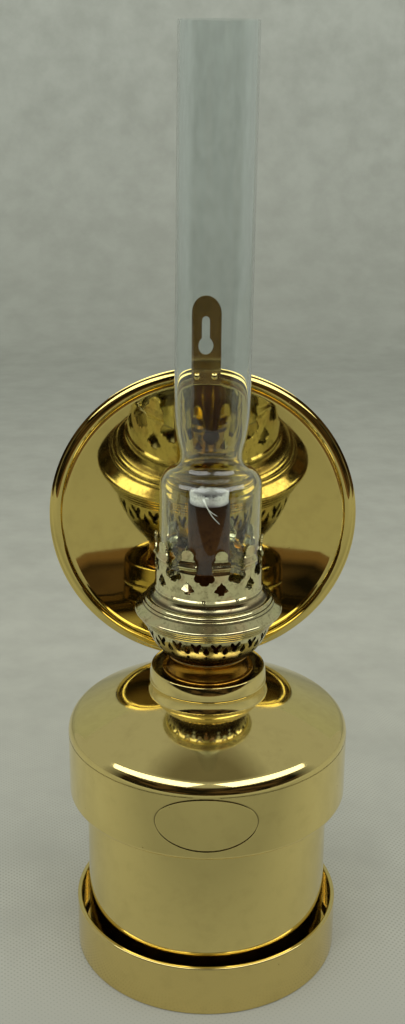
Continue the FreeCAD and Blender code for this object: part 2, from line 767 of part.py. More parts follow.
def wick_tube():
    """Outer wick tube, with a window for the winder's wheels and one for the air duct."""
    foot = f"({NECK_TOP} - wick_tube_foot)"
    body = turned("wick_tube", [
        ("wick_tube_radius - tube_sheet", foot),
        ("wick_tube_radius", foot),
        ("wick_tube_radius", TUBE_TOP),
        ("wick_tube_radius - tube_sheet", TUBE_TOP),
    ])
    wheels = new_sketch(body, "wheel_window", YZ)
    draw(wheels, mirrored([
        ("wheel_spacing / 2 + wheel_thickness", f"{SHAFT_Z} - 0.7 * wheel_radius"),
        ("wheel_spacing / 2 + wheel_thickness", f"{SHAFT_Z} + 0.7 * wheel_radius"),
    ]))
    cut_through(body, wheels, "wheel_window_cut")
    duct = new_sketch(body, "duct_window", YZ)
    sill = f"({NECK_TOP} + duct_sill)"
    draw(duct, mirrored([
        ("duct_width / 2 + solder_gap", f"{sill} - solder_gap"),
        ("duct_width / 2 + solder_gap", f"{sill} + duct_height + solder_gap"),
    ]))
    cut_through(body, duct, "duct_window_cut", front=False)


def primitive(kind, name, **numbers):
    """Part primitive with its sizes bound to the sheet."""
    item = doc.addObject(kind, name)
    for prop, text in numbers.items():
        if prop == "At":
            place(item, *text)
        else:
            item.setExpression(prop, bound(text))
    return item


def combine(kind, name, base, tool):
    item = doc.addObject(kind, name)
    item.Base, item.Tool = base, tool
    item.Label = name
    return item


def air_tube():
    """Inner tube, closed below, fed by a duct that passes out through the wick tube's window."""
    sill = f"({NECK_TOP} + duct_sill)"
    outside = primitive("Part::Cylinder", "air_tube_outside", Radius=AIR_TUBE_OUTSIDE,
                        Height=f"{TUBE_TOP} - {sill}", At=("0", "0", sill))
    inside = primitive("Part::Cylinder", "air_tube_inside", Radius=f"{AIR_TUBE_OUTSIDE} - tube_sheet",
                       Height=f"{TUBE_TOP} - {sill}", At=("0", "0", f"{sill} + tube_sheet"))
    reach = "(wick_tube_radius + duct_reach)"
    duct = primitive("Part::Box", "duct_outside", Length=reach, Width="duct_width", Height="duct_height",
                     At=(f"-{reach}", "-duct_width / 2", sill))
    passage = primitive("Part::Box", "duct_inside", Length=f"{reach} + 1",
                        Width="duct_width - 2 * tube_sheet", Height="duct_height - 2 * tube_sheet",
                        At=(f"-{reach} - 1", "-duct_width / 2 + tube_sheet", f"{sill} + tube_sheet"))
    outer = combine("Part::Fuse", "air_tube_outer", outside, duct)
    hollow = combine("Part::Fuse", "air_tube_hollow", inside, passage)
    bodies.append(combine("Part::Cut", "air_tube", outer, hollow))


def wick():
    """Woven wick rolled round the air tube, open on the duct's side so that it can pass the duct."""
    top = f"({TUBE_TOP} + wick_proud)"
    foot = f"({top} - wick_drop)"
    outside = primitive("Part::Cylinder", "wick_outside", Radius=WICK_OUTSIDE, Height="wick_drop",
                        At=("0", "0", foot))
    inside = primitive("Part::Cylinder", "wick_inside", Radius=f"{WICK_OUTSIDE} - wick_thickness",
                       Height="wick_drop + 2", At=("0", "0", f"{foot} - 1"))
    slit_top = f"({NECK_TOP} + duct_sill + duct_height + wick_travel_down + 1)"
    slit = primitive("Part::Box", "wick_opening", Length="wick_tube_radius", Width="wick_slit",
                     Height=f"{slit_top} - {foot} + 1",
                     At=("-wick_tube_radius", "-wick_slit / 2", f"{foot} - 1"))
    ring = combine("Part::Cut", "wick_ring", outside, inside)
    bodies.append(combine("Part::Cut", "wick", ring, slit))


def wheel_bracket():
    """Folded bracket on the neck's plate: two ears that carry the winder's shaft."""
    inner_half = f"({EAR_OUTSIDE} - bracket_sheet)"
    foot = f"({NECK_TOP} + solder_gap)"
    body = new_body("wheel_bracket")
    side = new_sketch(body, "bracket_outline", YZ, lift=f"{SHAFT_X} - bracket_width / 2")
    draw(side, mirrored([
        (EAR_OUTSIDE, foot),
        (EAR_OUTSIDE, f"{foot} + bracket_height"),
        (inner_half, f"{foot} + bracket_height"),
        (inner_half, f"{foot} + bracket_sheet"),
    ]))
    pad(body, side, "bracket", "bracket_width")
    hole = new_sketch(body, "bracket_hole", XZ)
    draw_circle(hole, SHAFT_X, SHAFT_Z, "shaft_radius + bearing_clearance")
    cut = cut_through(body, hole, "bracket_hole_cut")
    cut.Midplane = True


def wick_shaft():
    body = new_body("wick_shaft")
    revolve(body, [
        ("0", "0"),
        ("shaft_radius - shaft_bevel", "0"),
        ("shaft_radius", "shaft_bevel"),
        ("shaft_radius", "shaft_length - shaft_bevel"),
        ("shaft_radius - shaft_bevel", "shaft_length"),
        ("0", "shaft_length"),
    ])
    place(body, SHAFT_X, f"shaft_length - {SHAFT_START}", SHAFT_Z, tilt=90)


def wick_wheels():
    """Pair of toothed wheels that press on the wick and raise it."""
    body = new_body("wick_wheels")
    body.AllowCompound = True
    wheel = new_sketch(body, "wheel_outline", XY)
    draw_circle(wheel, "0", "0", "wheel_radius")
    draw_circle(wheel, "0", "0", "shaft_radius + solder_gap / 2")
    disc = pad(body, wheel, "wheel", "wheel_thickness")
    gap = new_sketch(body, "tooth_gap", XY)
    draw(gap, mirrored([
        ("0", "wheel_radius - tooth_depth"),
        ("tooth_depth * 0.9", "wheel_radius + 0.1"),
    ]))
    cut = cut_to(body, gap, "tooth_gap_cut", "wheel_thickness")
    around(body, [cut], "wheel_teeth", "teeth")
    second = body.newObject("PartDesign::LinearPattern", "second_wheel")
    second.Originals = [disc, cut]
    second.Direction = (plane(body, "Z_Axis"), [""])
    second.setExpression("Length", bound("wheel_spacing"))
    second.Occurrences = 2
    body.Tip = second
    place(body, SHAFT_X, "(wheel_spacing + wheel_thickness) / 2", SHAFT_Z, tilt=90)


def shaft_sleeve():
    """Sleeve soldered in the basket's wall that guides the shaft out to its knob."""
    body = new_body("shaft_sleeve")
    revolve(body, [
        ("shaft_radius + bearing_clearance", "0"),
        ("sleeve_radius", "0"),
        ("sleeve_radius", "sleeve_length"),
        ("shaft_radius + bearing_clearance", "sleeve_length"),
    ])
    centre_x, centre_z = basket_centre()
    drop = f"({SHAFT_Z} - {centre_z})"
    wall_radius = f"({centre_x} + sqrt(basket_bow * basket_bow - {drop} * {drop}))"
    through = f"sqrt({wall_radius} * {wall_radius} - {SHAFT_X} * {SHAFT_X})"
    place(body, SHAFT_X, f"{through} + sleeve_length / 2", SHAFT_Z, tilt=90)


def wick_knob():
    """Dished brass knob with a fluted edge, riveted on the shaft's end."""
    body = new_body("wick_knob")
    revolve(body, [
        ("shaft_radius + solder_gap / 2", "0"),
        ("knob_hub", "0"),
        ("knob_hub + 0.8", "knob_rim - 2 * knob_web"),
        ("knob_radius - knob_web", "knob_rim - 2 * knob_web"),
        ("knob_radius - knob_web", "0"),
        ("knob_radius", "0"),
        ("knob_radius", "knob_rim - knob_web"),
        ("knob_radius - knob_web", "knob_rim", "knob_web", "left"),
        ("knob_radius - 2 * knob_web", "knob_rim"),
        ("knob_hub + knob_web", "knob_rim - knob_web", "3 * knob_radius", "right"),
        ("shaft_radius + solder_gap / 2", "knob_rim - knob_web"),
    ])
    flute = new_sketch(body, "flute_outline", XY)
    draw_circle(flute, "0", "knob_radius + flute_radius / 3", "flute_radius")
    cut = cut_through(body, flute, "flute_cut")
    around(body, [cut], "knob_flutes", "fluting")
    place(body, SHAFT_X, f"shaft_length - {SHAFT_START} - knob_rim", SHAFT_Z, tilt=-90)


# ---------------------------------------------------------------- chimney

def ogee(x_low, z_low, x_high, z_high, first_round, depth, inward):
    """Two arcs that lead from one upright wall to another: the first bends away, the second back.

    The turn comes from how far the wall moves across its rise. On the first arc the skin lies outside
    its centre when the wall moves inward, so a skin that is `depth` inside it has a smaller arc there.
    """
    across = f"({x_low} - {x_high})" if inward else f"({x_high} - {x_low})"
    rise = f"({z_high} - {z_low})"
    turn = f"(2 * atan({across} / {rise}))"
    both = f"({rise} / sin({turn}))"
    second_round = f"({both} - {first_round})"
    if inward:
        first, second = f"({first_round} - {depth})", f"({second_round} + {depth})"
        middle = (f"{x_low} - {first_round} + {first} * cos({turn})", f"{z_low} + {first} * sin({turn})")
        return [middle + (first, "left"), (f"{x_high} - {depth}", z_high, second, "right")]
    first, second = f"({first_round} + {depth})", f"({second_round} - {depth})"
    middle = (f"{x_low} + {first_round} - {first} * cos({turn})", f"{z_low} + {first} * sin({turn})")
    return [middle + (first, "right"), (f"{x_high} - {depth}", z_high, second, "left")]


def chimney():
    """Glass chimney: wide bulb, narrow waist just above the wick, long tube."""
    bulb_top = f"({GLASS_FOOT} + bulb_height)"
    waist = f"({bulb_top} + waist_rise)"
    tube_foot = f"({waist} + flare_rise)"

    def skin(depth):
        return ([(f"bulb_radius - {depth}", GLASS_FOOT), (f"bulb_radius - {depth}", bulb_top)]
                + ogee("bulb_radius", bulb_top, "waist_radius", waist, "bulb_round", depth, True)
                + ogee("waist_radius", waist, "chimney_radius", tube_foot, "flare_round", depth, False)
                + [(f"chimney_radius - {depth}", f"{GLASS_FOOT} + chimney_height")])

    turned("chimney", wall(skin, "glass_wall"))


# ---------------------------------------------------------------- reflector and what holds it

def dish_depth(radius, depth="0"):
    """How far the dish has come forward of its middle at a radius; depth counts back from its face."""
    curve = f"(mirror_curve + {depth})"
    return f"(mirror_curve - sqrt({curve} * {curve} - {radius} * {radius}))"


def reflector():
    """Spun concave reflector. Its own upright axis points to the front, with the dish's middle at 0."""
    groove = "(mirror_radius - rim_width + 0.9)"
    crest = "(mirror_radius - rim_width / 2 + 0.6)"
    edge_z = dish_depth(DISH_RADIUS)
    body = turned("reflector", [
        ("0", "-mirror_sheet"),
        (DISH_RADIUS, dish_depth(DISH_RADIUS, "mirror_sheet"), "mirror_curve + mirror_sheet", "left"),
        (f"{groove} - 0.4", f"{edge_z} - mirror_sheet + 0.35"),
        (f"{groove} + 0.5", f"{edge_z} - mirror_sheet + 0.55"),
        ("mirror_radius - mirror_sheet", f"{edge_z} - mirror_sheet + 0.4", "rim_width / 2", "right"),
        ("mirror_radius", f"{edge_z} - mirror_sheet + 0.4"),
        (crest, f"{edge_z} + rim_height", "rim_width / 2 + 0.8", "left"),
        (groove, f"{edge_z} + 0.7", "rim_width / 2 + 0.8", "left"),
        (f"{DISH_RADIUS} + rim_bead * 0.7", f"{edge_z} + 0.9", "rim_bead * 0.8", "left"),
        (DISH_RADIUS, edge_z),
        ("0", "0", "mirror_curve", "right"),
    ])
    holes = new_sketch(body, "reflector_holes", XY)
    draw_circle(holes, "0", "0", "screw_radius + rivet_fit")
    for side in ("-", ""):
        draw_circle(holes, f"{side}tab_rivet_spacing / 2", "tab_rivet_rise", "small_rivet_shank + rivet_fit")
    through = cut_through(body, holes, "reflector_holes_cut")
    through.Midplane = True
    place(body, "0", "mirror_distance", "mirror_height", tilt=90)


RIM_FRONT = f"(mirror_distance - {dish_depth(DISH_RADIUS)} - rim_height)"


def hanging_tab():
    """Flat tab with a rounded top and a keyhole, riveted to the front of the reflector's rim."""
    body = new_body("hanging_tab")
    half = "(tab_width / 2)"
    face = new_sketch(body, "tab_outline", XZ)
    top = "(mirror_height + tab_top)"
    draw(face, mirrored([
        (half, "mirror_height + tab_bottom"),
        (half, f"{top} - {half}"),
        ("0", top, half, "left"),
    ]))
    pad(body, face, "tab", "tab_sheet")
    keyhole = new_sketch(body, "keyhole_outline", XZ)
    centre = "(mirror_height + keyhole_rise)"
    slot = "(keyhole_slot / 2)"
    join = f"sqrt(keyhole_radius * keyhole_radius - {slot} * {slot})"
    draw(keyhole, mirrored([
        ("0", f"{centre} - keyhole_radius"),
        ("keyhole_radius", centre, "keyhole_radius", "left"),
        (slot, f"{centre} + {join}", "keyhole_radius", "left"),
        (slot, f"{centre} + keyhole_reach - {slot}"),
        ("0", f"{centre} + keyhole_reach", slot, "left"),
    ]))
    cut_through(body, keyhole, "keyhole_cut")
    holes = new_sketch(body, "tab_rivet_holes", XZ)
    for side in ("-", ""):
        draw_circle(holes, f"{side}tab_rivet_spacing / 2", "mirror_height + tab_rivet_rise",
                    "small_rivet_shank + rivet_fit")
    cut_through(body, holes, "tab_rivet_holes_cut")
    place(body, "0", f"{RIM_FRONT} - solder_gap")


def tab_rivets():
    body = new_body("tab_rivets")
    body.AllowCompound = True
    grip = "(tab_sheet + rim_grip)"
    rivet(body, "small_rivet_head", "small_rivet_shank", grip, "dome_height")
    pair(body, "X_Axis", "tab_rivet_spacing")
    place(body, "-tab_rivet_spacing / 2", f"{RIM_FRONT} - 2 * solder_gap - tab_sheet + {grip}",
          "mirror_height + tab_rivet_rise", tilt=90)


def pair(body, axis, spacing):
    """Second copy of a body's turned solid, as a solid of its own."""
    pattern = body.newObject("PartDesign::LinearPattern", "second")
    pattern.Originals = [item for item in body.Group if item.TypeId == "PartDesign::Revolution"]
    pattern.Direction = (plane(body, axis), [""])
    pattern.setExpression("Length", bound(spacing))
    pattern.Occurrences = 2
    body.Tip = pattern


def back_strap():
    """Flat strap from the cup's back up behind the reflector, hollowed at its foot to fit the cup."""
    body = new_body("back_strap")
    side = new_sketch(body, "strap_side", YZ)
    back_foot = "(cup_radius + strap_sheet)"
    front_top = f"({MIRROR_BACK} + solder_gap)"
    rise = "(cup_height + strap_joggle)"
    knee = f"({rise} + strap_knee)"
    top = "(mirror_height + strap_above)"
    draw(side, [
        ("cup_radius - cup_wall / 2", "strap_foot"),
        (back_foot, "strap_foot"),
        (back_foot, rise),
        (f"{front_top} + strap_sheet", knee),
        (f"{front_top} + strap_sheet", top),
        (front_top, top),
        (front_top, f"{knee} + strap_sheet / 8"),
        ("cup_radius + solder_gap", f"{rise} + strap_sheet / 8"),
        ("cup_radius - cup_wall / 2", "cup_height - 2 * cup_edge"),
    ])
    pad(body, side, "strap", "strap_width", midplane=True)
    hollow = new_sketch(body, "strap_hollow", XY)
    draw_circle(hollow, "0", "0", "cup_radius + solder_gap")
    fit = cut_through(body, hollow, "strap_hollow_cut")
    fit.Midplane = True
    holes = new_sketch(body, "strap_holes", XZ)
    for rise_text in ("strap_rivet_low", "strap_rivet_low + strap_rivet_spacing"):
        draw_circle(holes, "0", rise_text, "big_rivet_shank + rivet_fit")
    draw_circle(holes, "0", "mirror_height", "screw_radius + rivet_fit")
    cut_through(body, holes, "strap_holes_cut", front=False)
    doc.recompute()
    corners = [f"Edge{number}" for number, edge in enumerate(body.Shape.Edges, start=1)
               if edge.BoundBox.ZMin > value(top) - 0.01 and edge.BoundBox.XLength < 0.01]
    strap = body.Tip
    rounding = body.newObject("PartDesign::Fillet", "strap_end")
    rounding.Base = (strap, corners)
    rounding.setExpression("Radius", bound("strap_width / 2 - 0.5"))


def strap_rivets():
    body = new_body("strap_rivets")
    body.AllowCompound = True
    grip = "(cup_wall + strap_sheet + 3 * solder_gap)"
    rivet(body, "big_rivet_head", "big_rivet_shank", grip, "dome_height")
    pair(body, "Y_Axis", "strap_rivet_spacing")
    place(body, "0", "cup_radius + strap_sheet + solder_gap", "strap_rivet_low", tilt=90)


def reflector_screw():
    """Pan-headed screw through the middle of the reflector and the strap, its head to the front."""
    body = new_body("reflector_screw")
    grip = "(mirror_sheet + strap_sheet + nut_height + screw_spare)"
    dome = dome_head("screw_head", "(dome_height * 1.4)")
    revolve(body, [
        ("0", f"-{grip}"),
        ("screw_radius - 0.3", f"-{grip}"),
        ("screw_radius", f"-{grip} + 0.3"),
        ("screw_radius", "0"),
        ("screw_head", "0"),
        ("0", "dome_height * 1.4", dome, "left"),
    ])
    place(body, "0", "mirror_distance - solder_gap", "mirror_height", tilt=90)


def reflector_nut():
    body = new_body("reflector_nut")
    face = new_sketch(body, "nut_outline", XY)
    corner = "(nut_flats / 2 / cos(30 deg))"
    draw(face, [(f"{corner} * cos({60 * turn} deg)", f"{corner} * sin({60 * turn} deg)")
                for turn in range(6)])
    draw_circle(face, "0", "0", "screw_radius + solder_gap")
    pad(body, face, "nut", "nut_height")
    place(body, "0", f"{MIRROR_BACK} + strap_sheet + 2 * solder_gap + nut_height", "mirror_height", tilt=90)


for build in (base_cup, font_drum, font_top, font_collar, burner_ring, burner_neck, burner_basket,
              gallery_flange, gallery_crown, wick_tube, air_tube, wick, wheel_bracket, wick_shaft,
              wick_wheels, shaft_sleeve, wick_knob, chimney, reflector, hanging_tab, tab_rivets,
              back_strap, strap_rivets, reflector_screw, reflector_nut):
    build()
    doc.recompute()

broken = [f"{item.Label}: {item.State}" for item in doc.Objects if {"Invalid", "Error"} & set(item.State)]
if broken:
    raise RuntimeError("failed features: " + "; ".join(broken))
os.makedirs("parts", exist_ok=True)
for body in bodies:
    shape = body.Shape
    if shape.isNull() or not shape.isValid() or not shape.Solids:
        raise RuntimeError(f"{body.Label} has no valid solid")
    print(f"{body.Label}: {len(shape.Solids)} solid(s), {shape.Volume:.1f} mm3")
    shape.exportStep(f"parts/{body.Label}.step")
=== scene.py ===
"""Brass ship's oil lamp: fine surfaces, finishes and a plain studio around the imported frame.

Sizes are in millimetres in the classes below and become metres where a mesh is made. The lamp stands on
z = 0 with its axis on the z axis; its front faces -y and the reflector stands behind it.
"""
import logging
import math
from dataclasses import dataclass
from enum import Enum
from typing import Callable, Optional, Sequence

import bpy
import numpy as np
from mathutils import Matrix, Vector
from mathutils.geometry import delaunay_2d_cdt


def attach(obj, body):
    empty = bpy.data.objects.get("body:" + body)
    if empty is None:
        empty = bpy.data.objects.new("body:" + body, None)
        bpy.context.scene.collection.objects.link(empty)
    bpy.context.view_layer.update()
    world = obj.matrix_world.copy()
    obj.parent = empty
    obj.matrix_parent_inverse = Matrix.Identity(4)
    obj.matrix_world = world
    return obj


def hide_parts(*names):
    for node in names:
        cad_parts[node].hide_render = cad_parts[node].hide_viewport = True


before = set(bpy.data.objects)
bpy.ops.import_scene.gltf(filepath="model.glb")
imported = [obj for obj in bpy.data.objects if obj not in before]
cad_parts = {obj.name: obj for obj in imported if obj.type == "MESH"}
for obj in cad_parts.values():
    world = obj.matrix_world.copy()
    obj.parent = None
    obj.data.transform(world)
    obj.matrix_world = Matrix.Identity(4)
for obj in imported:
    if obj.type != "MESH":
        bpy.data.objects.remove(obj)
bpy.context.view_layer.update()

log = logging.getLogger("ship_lamp")

MM = 0.001
TAU = 2.0 * math.pi
TURNS = 240
MIRRORED = np.array([-1.0, 1.0])

Array = np.ndarray
# Corners (across, up), or (across, up, radius) where an arc arrives: its centre lies left of the way there, or
# right of it where the radius has a minus sign.
Outline = Sequence[tuple[float, ...]]
Mesh = tuple[Array, list[list[int]]]


# ------------------------------------------------------------------ colours and nodes

def linear(code: str) -> tuple[float, float, float, float]:
    """Linear colour of an sRGB hex code: ((c + 0.055) / 1.055) ^ 2.4, or c / 12.92 near black.

    Args:
        code: six hex digits after a hash sign.

    Returns:
        Red, green, blue and an alpha of 1.
    """
    parts = [int(code[i:i + 2], 16) / 255 for i in (1, 3, 5)]
    red, green, blue = [c / 12.92 if c <= 0.04045 else ((c + 0.055) / 1.055) ** 2.4 for c in parts]
    return red, green, blue, 1.0


def add(tree: bpy.types.NodeTree, kind: str, inputs: Optional[dict[int | str, object]] = None,
        **settings: object) -> bpy.types.Node:
    """Add a node with its settings, and give its inputs a value or a link.

    Args:
        tree: node tree that gets the node.
        kind: type name of the node, without "ShaderNode" before it.
        inputs: input's name or number to a value or a hex colour, to the output socket that feeds it, or to the
            node whose first output feeds it.
        **settings: attributes of the node.

    Returns:
        The new node.
    """
    node = tree.nodes.new("ShaderNode" + kind)
    for key, setting in settings.items():
        setattr(node, key, setting)
    for key, source in (inputs or {}).items():
        if isinstance(source, bpy.types.Node):
            source = source.outputs[0]
        if isinstance(source, bpy.types.NodeSocket):
            tree.links.new(source, node.inputs[key])
        else:
            node.inputs[key].default_value = linear(source) if isinstance(source, str) else source
    return node


class Facing(Enum):
    """Axis that a piece was spun or turned on."""

    UPRIGHT = (0.0, 0.0, 0.0)
    FORWARD = (math.pi / 2, 0.0, 0.0)


@dataclass(frozen=True)
class Finish:
    """What a surface is made of and how it was worked."""

    name: str

    def material(self) -> bpy.types.Material:
        """Make the finish once.

        Returns:
            The material, which every later call gets too.
        """
        if self.name not in bpy.data.materials:
            made = bpy.data.materials.new(self.name)
            made.use_nodes = True
            self.fill(made.node_tree, made.node_tree.nodes["Principled BSDF"])
        return bpy.data.materials[self.name]

    def fill(self, tree: bpy.types.NodeTree, shader: bpy.types.Node) -> None:
        """Lay out the finish's nodes.

        Args:
            tree: the material's node tree.
            shader: its surface shader.
        """
        raise NotImplementedError


@dataclass(frozen=True)
class SpunMetal(Finish):
    """Sheet or bar metal worked on a lathe, and polished or left to age.

    The surface has faint rings left by the tool and a slight waviness from hand buffing, both as heights in
    the bump. Smudges dull it, stains and small pits tarnish it, and a dark colour fills what a piece's own
    attribute marks: real dirt and soot on some pieces, painted shade and painted dark reflection on others.
    Soot lies on it between two heights, where they differ.
    """

    colour: str
    tarnish: str
    tarnish_share: float = 0.1
    blush: str = "#C98A5C"
    blush_share: float = 0.0
    roughness: float = 0.055
    smudge: float = 0.05
    ring_mm: float = 2.0
    ring_depth_mm: float = 0.0012
    wave_mm: float = 16.0
    wave_depth_mm: float = 0.012
    stain_mm: float = 9.0
    pit_mm: float = 9.0
    pit_size: float = 0.035
    # Dark brown laid where a piece's mark asks for it: real dirt and soot on some pieces, painted shade and
    # painted dark reflection on others.
    soil_and_painted_shade: str = "#2A1A0C"
    soot_low_mm: float = 0.0
    soot_high_mm: float = 0.0
    axis: Facing = Facing.UPRIGHT
    centre_mm: tuple[float, float, float] = (0.0, 0.0, 0.0)

    def centred(self) -> list[float]:
        """Shift in metres that puts the centre at the origin, after the turn that makes the axis upright."""
        x, y, z = self.centre_mm
        return [-x * MM, -y * MM, -z * MM] if self.axis is Facing.UPRIGHT else [-x * MM, z * MM, -y * MM]

    def fill(self, tree: bpy.types.NodeTree, shader: bpy.types.Node) -> None:
        """Worn metal: colour, dirt and roughness, then two bumps.

        Args:
            tree: the material's node tree.
            shader: its surface shader.
        """
        place = add(tree, "TexCoord")
        centre = add(tree, "Mapping", {
            "Vector": place.outputs["Object"], "Location": self.centred(), "Rotation": self.axis.value})
        mm = add(tree, "VectorMath", {0: centre, "Scale": 1 / MM}, operation="SCALE")
        # Rings: noise over radius and height, and over the unit circle so that it has no seam.
        axes = add(tree, "SeparateXYZ", {0: mm})
        flat = add(tree, "CombineXYZ", {"X": axes.outputs["X"], "Y": axes.outputs["Y"]})
        radius = add(tree, "VectorMath", {0: flat}, operation="LENGTH")
        unit = add(tree, "VectorMath", {0: flat}, operation="NORMALIZE")
        around = add(tree, "SeparateXYZ", {0: unit})
        across = add(tree, "Math", {0: radius.outputs["Value"], 1: 1 / self.ring_mm},
                     operation="MULTIPLY")
        along = add(tree, "Math", {0: axes.outputs["Z"], 1: 1 / self.ring_mm}, operation="MULTIPLY")
        ring_place = add(tree, "CombineXYZ", {
            "X": across, "Y": along, "Z": around.outputs["X"]})
        rings = add(tree, "TexNoise", {
            "Vector": ring_place, "W": around.outputs["Y"], "Scale": 1.0, "Detail": 1.0,
            "Roughness": 0.4}, noise_dimensions="4D")
        waves = add(tree, "TexNoise", {
            "Vector": mm, "Scale": 1 / self.wave_mm, "Detail": 1.0, "Roughness": 0.3})
        stains = add(tree, "TexNoise", {
            "Vector": mm, "Scale": 1 / self.stain_mm, "Detail": 6.0, "Roughness": 0.65})
        pits = add(tree, "TexVoronoi", {
            "Vector": mm, "Scale": 1 / self.pit_mm, "Randomness": 1.0})
        pit = add(tree, "MapRange", {
            "Value": pits.outputs["Distance"], "From Min": self.pit_size * 0.5, "From Max": self.pit_size,
            "To Min": 1.0, "To Max": 0.0})
        stain = add(tree, "MapRange", {
            "Value": stains.outputs["Fac"], "From Min": 0.5, "From Max": 0.72,
            "To Max": self.tarnish_share})
        worn = add(tree, "Math", {0: stain, 1: pit}, operation="MAXIMUM")
        warm = add(tree, "MapRange", {
            "Value": waves.outputs["Fac"], "From Min": 0.5, "From Max": 0.68,
            "To Max": self.blush_share})
        ground = add(tree, "Mix", {
            0: warm, 6: self.colour, 7: self.blush}, data_type="RGBA")
        aged = add(tree, "Mix", {
            0: worn, 6: ground.outputs[2], 7: self.tarnish}, data_type="RGBA")
        # The piece's mark: real dirt on some pieces, painted shade and painted dark reflection on others.
        marked = add(tree, "Attribute", attribute_name="soil_and_painted_shade")
        dirt_and_painted_shade = marked.outputs["Fac"]
        if self.soot_high_mm > self.soot_low_mm:
            soot = add(tree, "MapRange", {
                "Value": axes.outputs["Z"], "From Min": self.soot_low_mm, "From Max": self.soot_high_mm})
            dirt_and_painted_shade = add(tree, "Math", {0: dirt_and_painted_shade, 1: soot}, operation="MAXIMUM")
        colour = add(tree, "Mix", {
            0: dirt_and_painted_shade, 6: aged.outputs[2], 7: self.soil_and_painted_shade}, data_type="RGBA")
        dull = add(tree, "MapRange", {
            "Value": stains.outputs["Fac"], "From Min": 0.35, "From Max": 0.7,
            "To Min": self.roughness, "To Max": self.roughness + self.smudge})
        pitted = add(tree, "Math", {0: dull, 1: pit}, operation="MAXIMUM")
        rough = add(tree, "Math", {0: dirt_and_painted_shade, 1: 0.15, 2: pitted},
                    operation="MULTIPLY_ADD", use_clamp=True)
        wave_bump = add(tree, "Bump", {
            "Height": waves.outputs["Fac"], "Distance": self.wave_depth_mm * MM, "Strength": 1.0})
        ring_bump = add(tree, "Bump", {
            "Height": rings.outputs["Fac"], "Distance": self.ring_depth_mm * MM, "Strength": 1.0,
            "Normal": wave_bump})
        tree.links.new(colour.outputs[2], shader.inputs["Base Color"])
        tree.links.new(rough.outputs[0], shader.inputs["Roughness"])
        tree.links.new(ring_bump.outputs[0], shader.inputs["Normal"])
        shader.inputs["Metallic"].default_value = 1.0


@dataclass(frozen=True)
class DrawnGlass(Finish):
    """Clear soda-lime tube glass, blown to shape: colourless but for its edges, with faint draw lines."""

    colour: str = "#F6FAFA"
    line_mm: float = 1.6
    line_depth_mm: float = 0.0012

    def fill(self, tree: bpy.types.NodeTree, shader: bpy.types.Node) -> None:
        """Clear glass with draw lines in its bump.

        Args:
            tree: the material's node tree.
            shader: its surface shader.
        """
        place = add(tree, "TexCoord")
        # Draw lines run up the tube, so the pattern is stretched twenty times along z.
        stretch = add(tree, "Mapping", {
            "Vector": place.outputs["Object"], "Scale": [1 / MM, 1 / MM, 0.05 / MM]})
        lines = add(tree, "TexNoise", {
            "Vector": stretch, "Scale": 1 / self.line_mm, "Detail": 2.0})
        bump = add(tree, "Bump", {
            "Height": lines.outputs["Fac"], "Distance": self.line_depth_mm * MM, "Strength": 1.0})
        tree.links.new(bump.outputs[0], shader.inputs["Normal"])
        shader.inputs["Base Color"].default_value = linear(self.colour)
        shader.inputs["Roughness"].default_value = 0.0
        shader.inputs["IOR"].default_value = 1.5
        shader.inputs["Transmission Weight"].default_value = 1.0
        # Light for what stands inside passes straight through, as it does through thin glass.
        path = add(tree, "LightPath")
        passing = add(tree, "Math", {
            0: path.outputs["Is Shadow Ray"], 1: path.outputs["Is Diffuse Ray"]}, operation="MAXIMUM")
        clear = add(tree, "BsdfTransparent", {"Color": self.colour})
        both = add(tree, "MixShader", {
            0: passing, 1: shader, 2: clear})
        tree.links.new(both.outputs[0], tree.nodes["Material Output"].inputs["Surface"])


@dataclass(frozen=True)
class WovenCotton(Finish):
    """Undyed cotton yarn, plaited: matt, soft at its edges, greyer where it was lit."""

    colour: str = "#ECE8DA"
    shade: str = "#A9A39A"
    scorch: str = "#3A2A33"
    yarn_mm: float = 0.7

    def fill(self, tree: bpy.types.NodeTree, shader: bpy.types.Node) -> None:
        """Fuzzy yarn, greyed between its fibres and scorched where soiled.

        Args:
            tree: the material's node tree.
            shader: its surface shader.
        """
        place = add(tree, "TexCoord")
        mm = add(tree, "VectorMath", {0: place.outputs["Object"], "Scale": 1 / MM},
                 operation="SCALE")
        fibres = add(tree, "TexNoise", {
            "Vector": mm, "Scale": 1 / self.yarn_mm, "Detail": 4.0, "Roughness": 0.7})
        shade = add(tree, "MapRange", {
            "Value": fibres.outputs["Fac"], "From Min": 0.35, "From Max": 0.7, "To Max": 0.8})
        greyed = add(tree, "Mix", {
            0: shade, 6: self.colour, 7: self.shade}, data_type="RGBA")
        scorched = add(tree, "Attribute", attribute_name="soil_and_painted_shade")
        colour = add(tree, "Mix", {
            0: scorched.outputs["Fac"], 6: greyed.outputs[2], 7: self.scorch}, data_type="RGBA")
        bump = add(tree, "Bump", {
            "Height": fibres.outputs["Fac"], "Distance": 0.1 * MM, "Strength": 1.0})
        tree.links.new(colour.outputs[2], shader.inputs["Base Color"])
        tree.links.new(bump.outputs[0], shader.inputs["Normal"])
        shader.inputs["Roughness"].default_value = 0.92
        shader.inputs["Sheen Weight"].default_value = 0.25


# Cartridge brass spun and buffed to a mirror: yellow-green gold, with faint rings and hand-buffed waves.
POLISHED_BRASS = SpunMetal("cartridge_brass_buffed", "#EBD88F", "#6E5228")
# The cup's brass, a little redder and duller.
CUP_BRASS = SpunMetal("cartridge_brass_hand_rubbed", "#E3CE86", "#6E5228", roughness=0.08, smudge=0.06)
# The same, on the reflector's own axis and flatter, so that it mirrors the burner.
MIRROR_BRASS = SpunMetal("cartridge_brass_mirror", "#DFCA7A", "#5F4520", roughness=0.015, smudge=0.03,
                         wave_mm=30.0, wave_depth_mm=0.006, ring_mm=4.0, ring_depth_mm=0.0006,
                         axis=Facing.FORWARD, centre_mm=(0.0, 86.0, 192.6))
